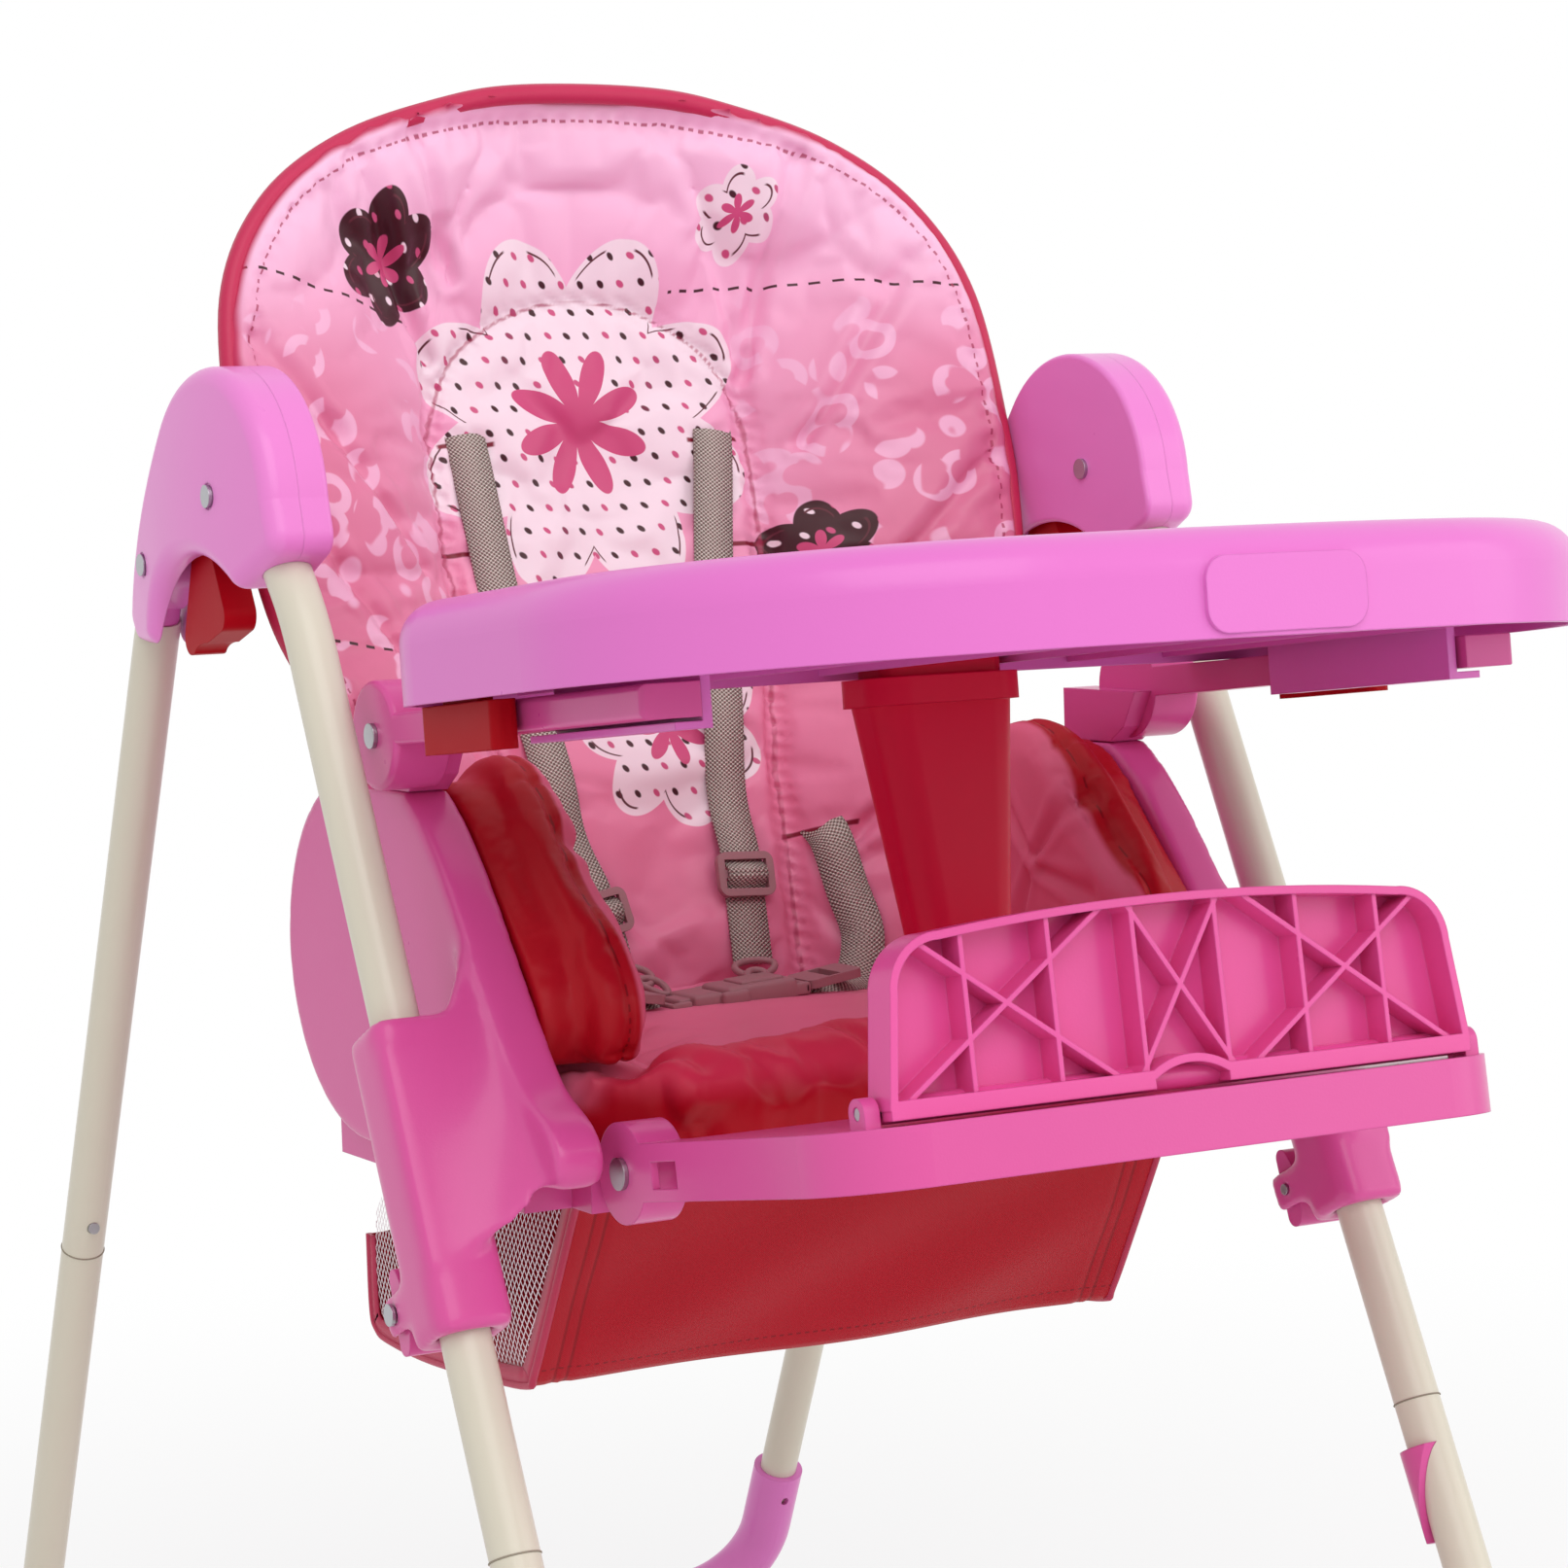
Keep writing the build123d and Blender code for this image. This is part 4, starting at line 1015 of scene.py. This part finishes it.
# Side-release buckle: socket, its raised panel, plug, spring arms and webbing bars
BUCKLE_BLOCKS = (
    ((0.045, 0.034, 0.0125), (0.0140, 0.0, 0.0), 0.0030),
    ((0.027, 0.022, 0.0030), (0.0170, 0.0, 0.0062), 0.0010),
    ((0.019, 0.033, 0.0105), (-0.0195, 0.0, -0.0004), 0.0026),
    ((0.010, 0.022, 0.0080), (-0.0310, 0.0, -0.0006), 0.0018),
    ((0.017, 0.006, 0.0090), (-0.0040, 0.0165, 0.0), 0.0020),
    ((0.017, 0.006, 0.0090), (-0.0040, -0.0165, 0.0), 0.0020),
    ((0.011, 0.004, 0.0070), (-0.0360, 0.0145, -0.0008), 0.0012),
    ((0.011, 0.004, 0.0070), (-0.0360, -0.0145, -0.0008), 0.0012),
    ((0.004, 0.033, 0.0060), (-0.0410, 0.0, -0.0008), 0.0014),
    ((0.011, 0.004, 0.0070), (0.0385, 0.0145, -0.0008), 0.0012),
    ((0.011, 0.004, 0.0070), (0.0385, -0.0145, -0.0008), 0.0012),
    ((0.004, 0.033, 0.0060), (0.0425, 0.0, -0.0008), 0.0014),
)


# Basket

# Side view of the bag from its front edge down, under and up the rear wall
BASKET_PROFILE = (
    (-0.212, 0.451),
    (-0.205, 0.440),
    (-0.178, 0.393),
    (-0.154, 0.353),
    (-0.144, 0.345),
    (-0.090, 0.340),
    (-0.020, 0.336),
    (0.034, 0.337),
    (0.050, 0.341),
    (0.056, 0.352),
    (0.0565, 0.394),
)
BASKET_BACK = 0.010          # where the open rear slope of the sides begins
BASKET_SLOPE = 1.19          # fall of that slope for its length
BAND = 0.010                 # hem along the lower edge of a side


def basket():
    """Cloth panel that makes front, floor and rear of the bag, with hems, bands and nets."""
    path = curve_through([Vector((0.0, y + SHIFT, z)) for y, z in BASKET_PROFILE], 6)
    length, at = walk(path)

    def panel_place(u, v):
        x = BASKET_HALF * (2.0 * u - 1.0)
        p = at(v)
        calm = 1.0 - (x / BASKET_HALF) ** 6
        sag = 0.0035 * noise.noise(Vector((x * 8.0, v * 5.0, 0.3))) * calm
        sag += 0.0020 * math.sin(x * 34.0 + v * 22.0) * calm * math.exp(-((v - 0.2) / 0.16) ** 2)
        for seam in BASKET_SEAMS:
            sag -= 0.0010 * math.exp(-(((abs(x) - BASKET_HALF + seam) / 0.0022) ** 2))
        return Vector((x, p.y - sag, p.z - 0.4 * sag)), (x, v * length, 0.0)

    panel = drape("basket_panel", 140, 70, panel_place)
    thicken(panel, 0.0012)
    dressed(panel, BASKET_CLOTH, "seat", "basket")
    for side, s in (("l", 1.0), ("r", -1.0)):
        hem_line = [Vector((s * (BASKET_HALF + 0.0004), p.y, p.z)) for p in path]
        dressed(tube("basket_hem_" + side, hem_line, 0.0022), BASKET_ROSE, "seat")
        inner = basket_inner(path, s * (BASKET_HALF + 0.0012), 0.5 * BAND)
        outward = [Vector((s, 0.0, 0.0))] * len(inner)
        band = ribbon("basket_band_" + side, inner, outward, BAND, 0.0012, 1)
        dressed(band, BASKET_ROSE, "seat")
        basket_net("basket_net_" + side, basket_inner(path, s * BASKET_HALF, BAND))


def basket_inner(path, x, inset):
    """The bag's side view drawn in by an inset, at one place across."""
    inner = []
    for k, p in enumerate(path):
        ahead = (path[min(k + 1, len(path) - 1)] - path[max(k - 1, 0)]).normalized()
        spot = Vector((x, p.y - ahead.z * inset, p.z + ahead.y * inset))
        if not inner or (spot - inner[-1]).dot(ahead) > 0.0:
            inner.append(spot)
    return inner


def basket_net(name, low):
    """Net between the side's hem and the seat pan above it, bellied a little outwards."""
    top = BASKET_PROFILE[0][1]
    _, at = walk(low)
    way = math.copysign(1.0, low[0].x)

    def place(u, v):
        p = at(u)
        past = max(0.0, p.y - SHIFT - BASKET_BACK)
        roof = max(top - BASKET_SLOPE * past, p.z + 0.0005)
        z = p.z + v * (roof - p.z)
        belly = 0.004 * math.sin(math.pi * u) * math.sin(math.pi * v)
        return Vector((p.x + way * belly, p.y, z)), (p.y, z, 0.0)

    net = drape(name, 60, 16, place)
    dressed(net, NETTING, "seat", "basket")
    _, wide, deep = np.ptp(coords(net), axis=0).tolist()


# Legs

def leg_seams():
    """Thin shadow line where each lower leg tube is plugged into the upper one."""
    for name, body, foot, lean, seam in LEG_SEAMS:
        way = Vector((0.0, math.sin(lean), math.cos(lean)))
        for side, x in (("l", LEG_X), ("r", -LEG_X)):
            centre = Vector((x, foot + (seam - LEG_FOOT_UP) * math.tan(lean) + SHIFT, seam))
            out = Vector((1.0, 0.0, 0.0))
            round_way = way.cross(out)
            circle = [
                centre + (TUBE_R + 0.0001) * (out * math.cos(a) + round_way * math.sin(a))
                for a in (2.0 * math.pi * k / 40 for k in range(40))
            ]
            dressed(tube("leg_seam_" + name + "_" + side, circle, 0.0005, True), SEAM_SHADOW, body)


# Name, body, foot of the leg along Y, lean and height of the seam
LEG_SEAMS = (
    ("front", "front_frame", -LEG_FOOT, FRONT_LEAN, 0.3065),
    ("rear", "rear_frame", LEG_FOOT, REAR_LEAN, 0.3600),
)


# Stage

def backdrop():
    """Pale floor that keeps the shadow by the object and fades to white away from it."""
    bm = bmesh.new()
    bmesh.ops.create_grid(bm, x_segments=1, y_segments=1, size=14.0)
    floor = from_bmesh("floor", bm)
    g = Graph("floor_pale", rgb(246, 245, 245), 0.9)
    x, y, _ = g.axes(g.place())
    away = (x * x + y * y).math("SQRT").step(0.65, 2.0)
    rays = g.tree.nodes.new("ShaderNodeLightPath")
    glow = g.tree.nodes.new("ShaderNodeEmission")
    glow.inputs["Color"].default_value = (1.0, 1.0, 1.0, 1.0)
    blend = g.tree.nodes.new("ShaderNodeMixShader")
    camera_ray = Wire(g, rays.outputs["Is Camera Ray"])
    glossy_ray = Wire(g, rays.outputs["Is Glossy Ray"])
    g.plug(blend.inputs[0], camera_ray.math("MAXIMUM", glossy_ray) * (away * 0.28 + 0.72))
    g.tree.links.new(g.shader.outputs[0], blend.inputs[1])
    g.tree.links.new(glow.outputs[0], blend.inputs[2])
    g.tree.links.new(blend.outputs[0], g.tree.nodes["Material Output"].inputs["Surface"])
    paint(floor, g.material)


def sky():
    """Even light, seen as white by the camera and in reflections."""
    world = bpy.data.worlds.new("studio")
    bpy.context.scene.world = world
    world.use_nodes = True
    tree = world.node_tree
    tree.nodes.clear()
    rays = tree.nodes.new("ShaderNodeLightPath")
    seen = rays.outputs["Is Camera Ray"]
    for ray in ("Is Glossy Ray", "Is Transmission Ray"):
        either = tree.nodes.new("ShaderNodeMath")
        either.operation = "MAXIMUM"
        tree.links.new(seen, either.inputs[0])
        tree.links.new(rays.outputs[ray], either.inputs[1])
        seen = either.outputs[0]
    soft = tree.nodes.new("ShaderNodeBackground")
    soft.inputs["Color"].default_value = (1.0, 1.0, 1.0, 1.0)
    soft.inputs["Strength"].default_value = 0.66
    white = tree.nodes.new("ShaderNodeBackground")
    white.inputs["Color"].default_value = (1.0, 1.0, 1.0, 1.0)
    white.inputs["Strength"].default_value = 1.0
    blend = tree.nodes.new("ShaderNodeMixShader")
    tree.links.new(seen, blend.inputs[0])
    tree.links.new(soft.outputs[0], blend.inputs[1])
    tree.links.new(white.outputs[0], blend.inputs[2])
    out = tree.nodes.new("ShaderNodeOutputWorld")
    tree.links.new(blend.outputs[0], out.inputs["Surface"])


def softbox(name, place, size, power):
    lamp = bpy.data.lights.new(name, "AREA")
    lamp.shape = "SQUARE"
    lamp.size = size
    lamp.energy = power
    obj = bpy.data.objects.new(name, lamp)
    bpy.context.scene.collection.objects.link(obj)
    away = Vector(place) - Vector(AIM)
    obj.matrix_world = Matrix.Translation(place) @ away.to_track_quat("Z", "Y").to_matrix().to_4x4()


def camera():
    yaw, pitch, roll = (math.radians(turn) for turn in (CAMERA_YAW, CAMERA_PITCH, CAMERA_ROLL))
    ahead = Vector((math.sin(yaw) * math.cos(pitch), math.cos(yaw) * math.cos(pitch), -math.sin(pitch)))
    level = ahead.cross(Vector((0, 0, 1))).normalized()
    upright = level.cross(ahead)
    right = level * math.cos(roll) + upright * math.sin(roll)
    up = upright * math.cos(roll) - level * math.sin(roll)
    lens = bpy.data.cameras.new("camera")
    lens.sensor_width = SENSOR
    lens.lens = FOCAL_PIXELS / PICTURE_PIXELS * SENSOR
    lens.clip_end = 60.0
    obj = bpy.data.objects.new("camera", lens)
    bpy.context.scene.collection.objects.link(obj)
    turn = Matrix((right, up, -ahead)).transposed().to_4x4()
    obj.matrix_world = Matrix.Translation(CAMERA_PLACE) @ turn
    bpy.context.scene.camera = obj


PAD_PINK = printed_vinyl()
PAD_CRIMSON = vinyl("pad_crimson", rgb(206, 54, 96), rgb(190, 40, 80))
SEAT_VINYL = seat_vinyl()
BOLSTER_VINYL = bolster_vinyl()
PAD_ROSE = vinyl("pad_rose", rgb(240, 138, 172), rgb(228, 120, 156))
WEBBING = webbing()
BASKET_CLOTH = basket_fabric("basket_cloth", rgb(186, 18, 40), rgb(170, 12, 30))
BASKET_ROSE = vinyl("basket_rose", rgb(196, 62, 96), rgb(182, 46, 78))
NETTING = netting()
BUCKLE = plastic("buckle_plastic", rgb(168, 122, 128), 0.42, 0.0, 0.0006)
# Painted shadow: a dark ring where each lower leg tube is plugged into the upper one.
SEAM_SHADOW = plastic("seam_shadow", rgb(150, 140, 124), 0.6, 0.0, 0.0002)
SLOT_FINISH = {
    "tube_cream": powder_coat(),
    "steel": steel(),
    "hub_pink": plastic("hub_pink", rgb(236, 134, 210)),
    "seat_pink": plastic("seat_pink", rgb(218, 84, 156)),
    "tray_pink": plastic("tray_pink", rgb(226, 116, 200)),
    "rose_plastic": plastic("rose_plastic", rgb(228, 84, 158)),
    "red_plastic": plastic("red_plastic", rgb(176, 8, 24), 0.4, 0.0, 0.0012, 0.08),
    "elbow_plastic": plastic("elbow_pink", rgb(226, 124, 198)),
    "foot_rubber": rubber(),
    "pad_pink": PAD_PINK,
    "pad_crimson": PAD_CRIMSON,
    "basket_cloth": BASKET_CLOTH,
    "webbing": WEBBING,
    "buckle_plastic": BUCKLE,
}
for part in frame["record"]["subparts"]:
    paint(frame["nodes"][part["node"]], SLOT_FINISH[part["material_slot"]])
post_rose = plastic("post_rose", rgb(214, 16, 60), 0.34, 0.0, 0.0012, 0.14)
paint(frame["nodes"]["crotch_post"], post_rose)

for side in ("l", "r"):
    side_moulding(side)
back_surface = tree_of(back_cover())
seat_cover()
for side in ("l", "r"):
    bolster(side)
cover_fold(back_surface)
harness(back_surface)
basket()
leg_seams()
backdrop()
sky()
softbox("key", (-0.9, -2.5, 3.0), 2.8, 52.0)
softbox("fill", (2.4, -2.2, 1.5), 2.4, 24.0)
camera()
bpy.context.scene.view_settings.view_transform = "Standard"
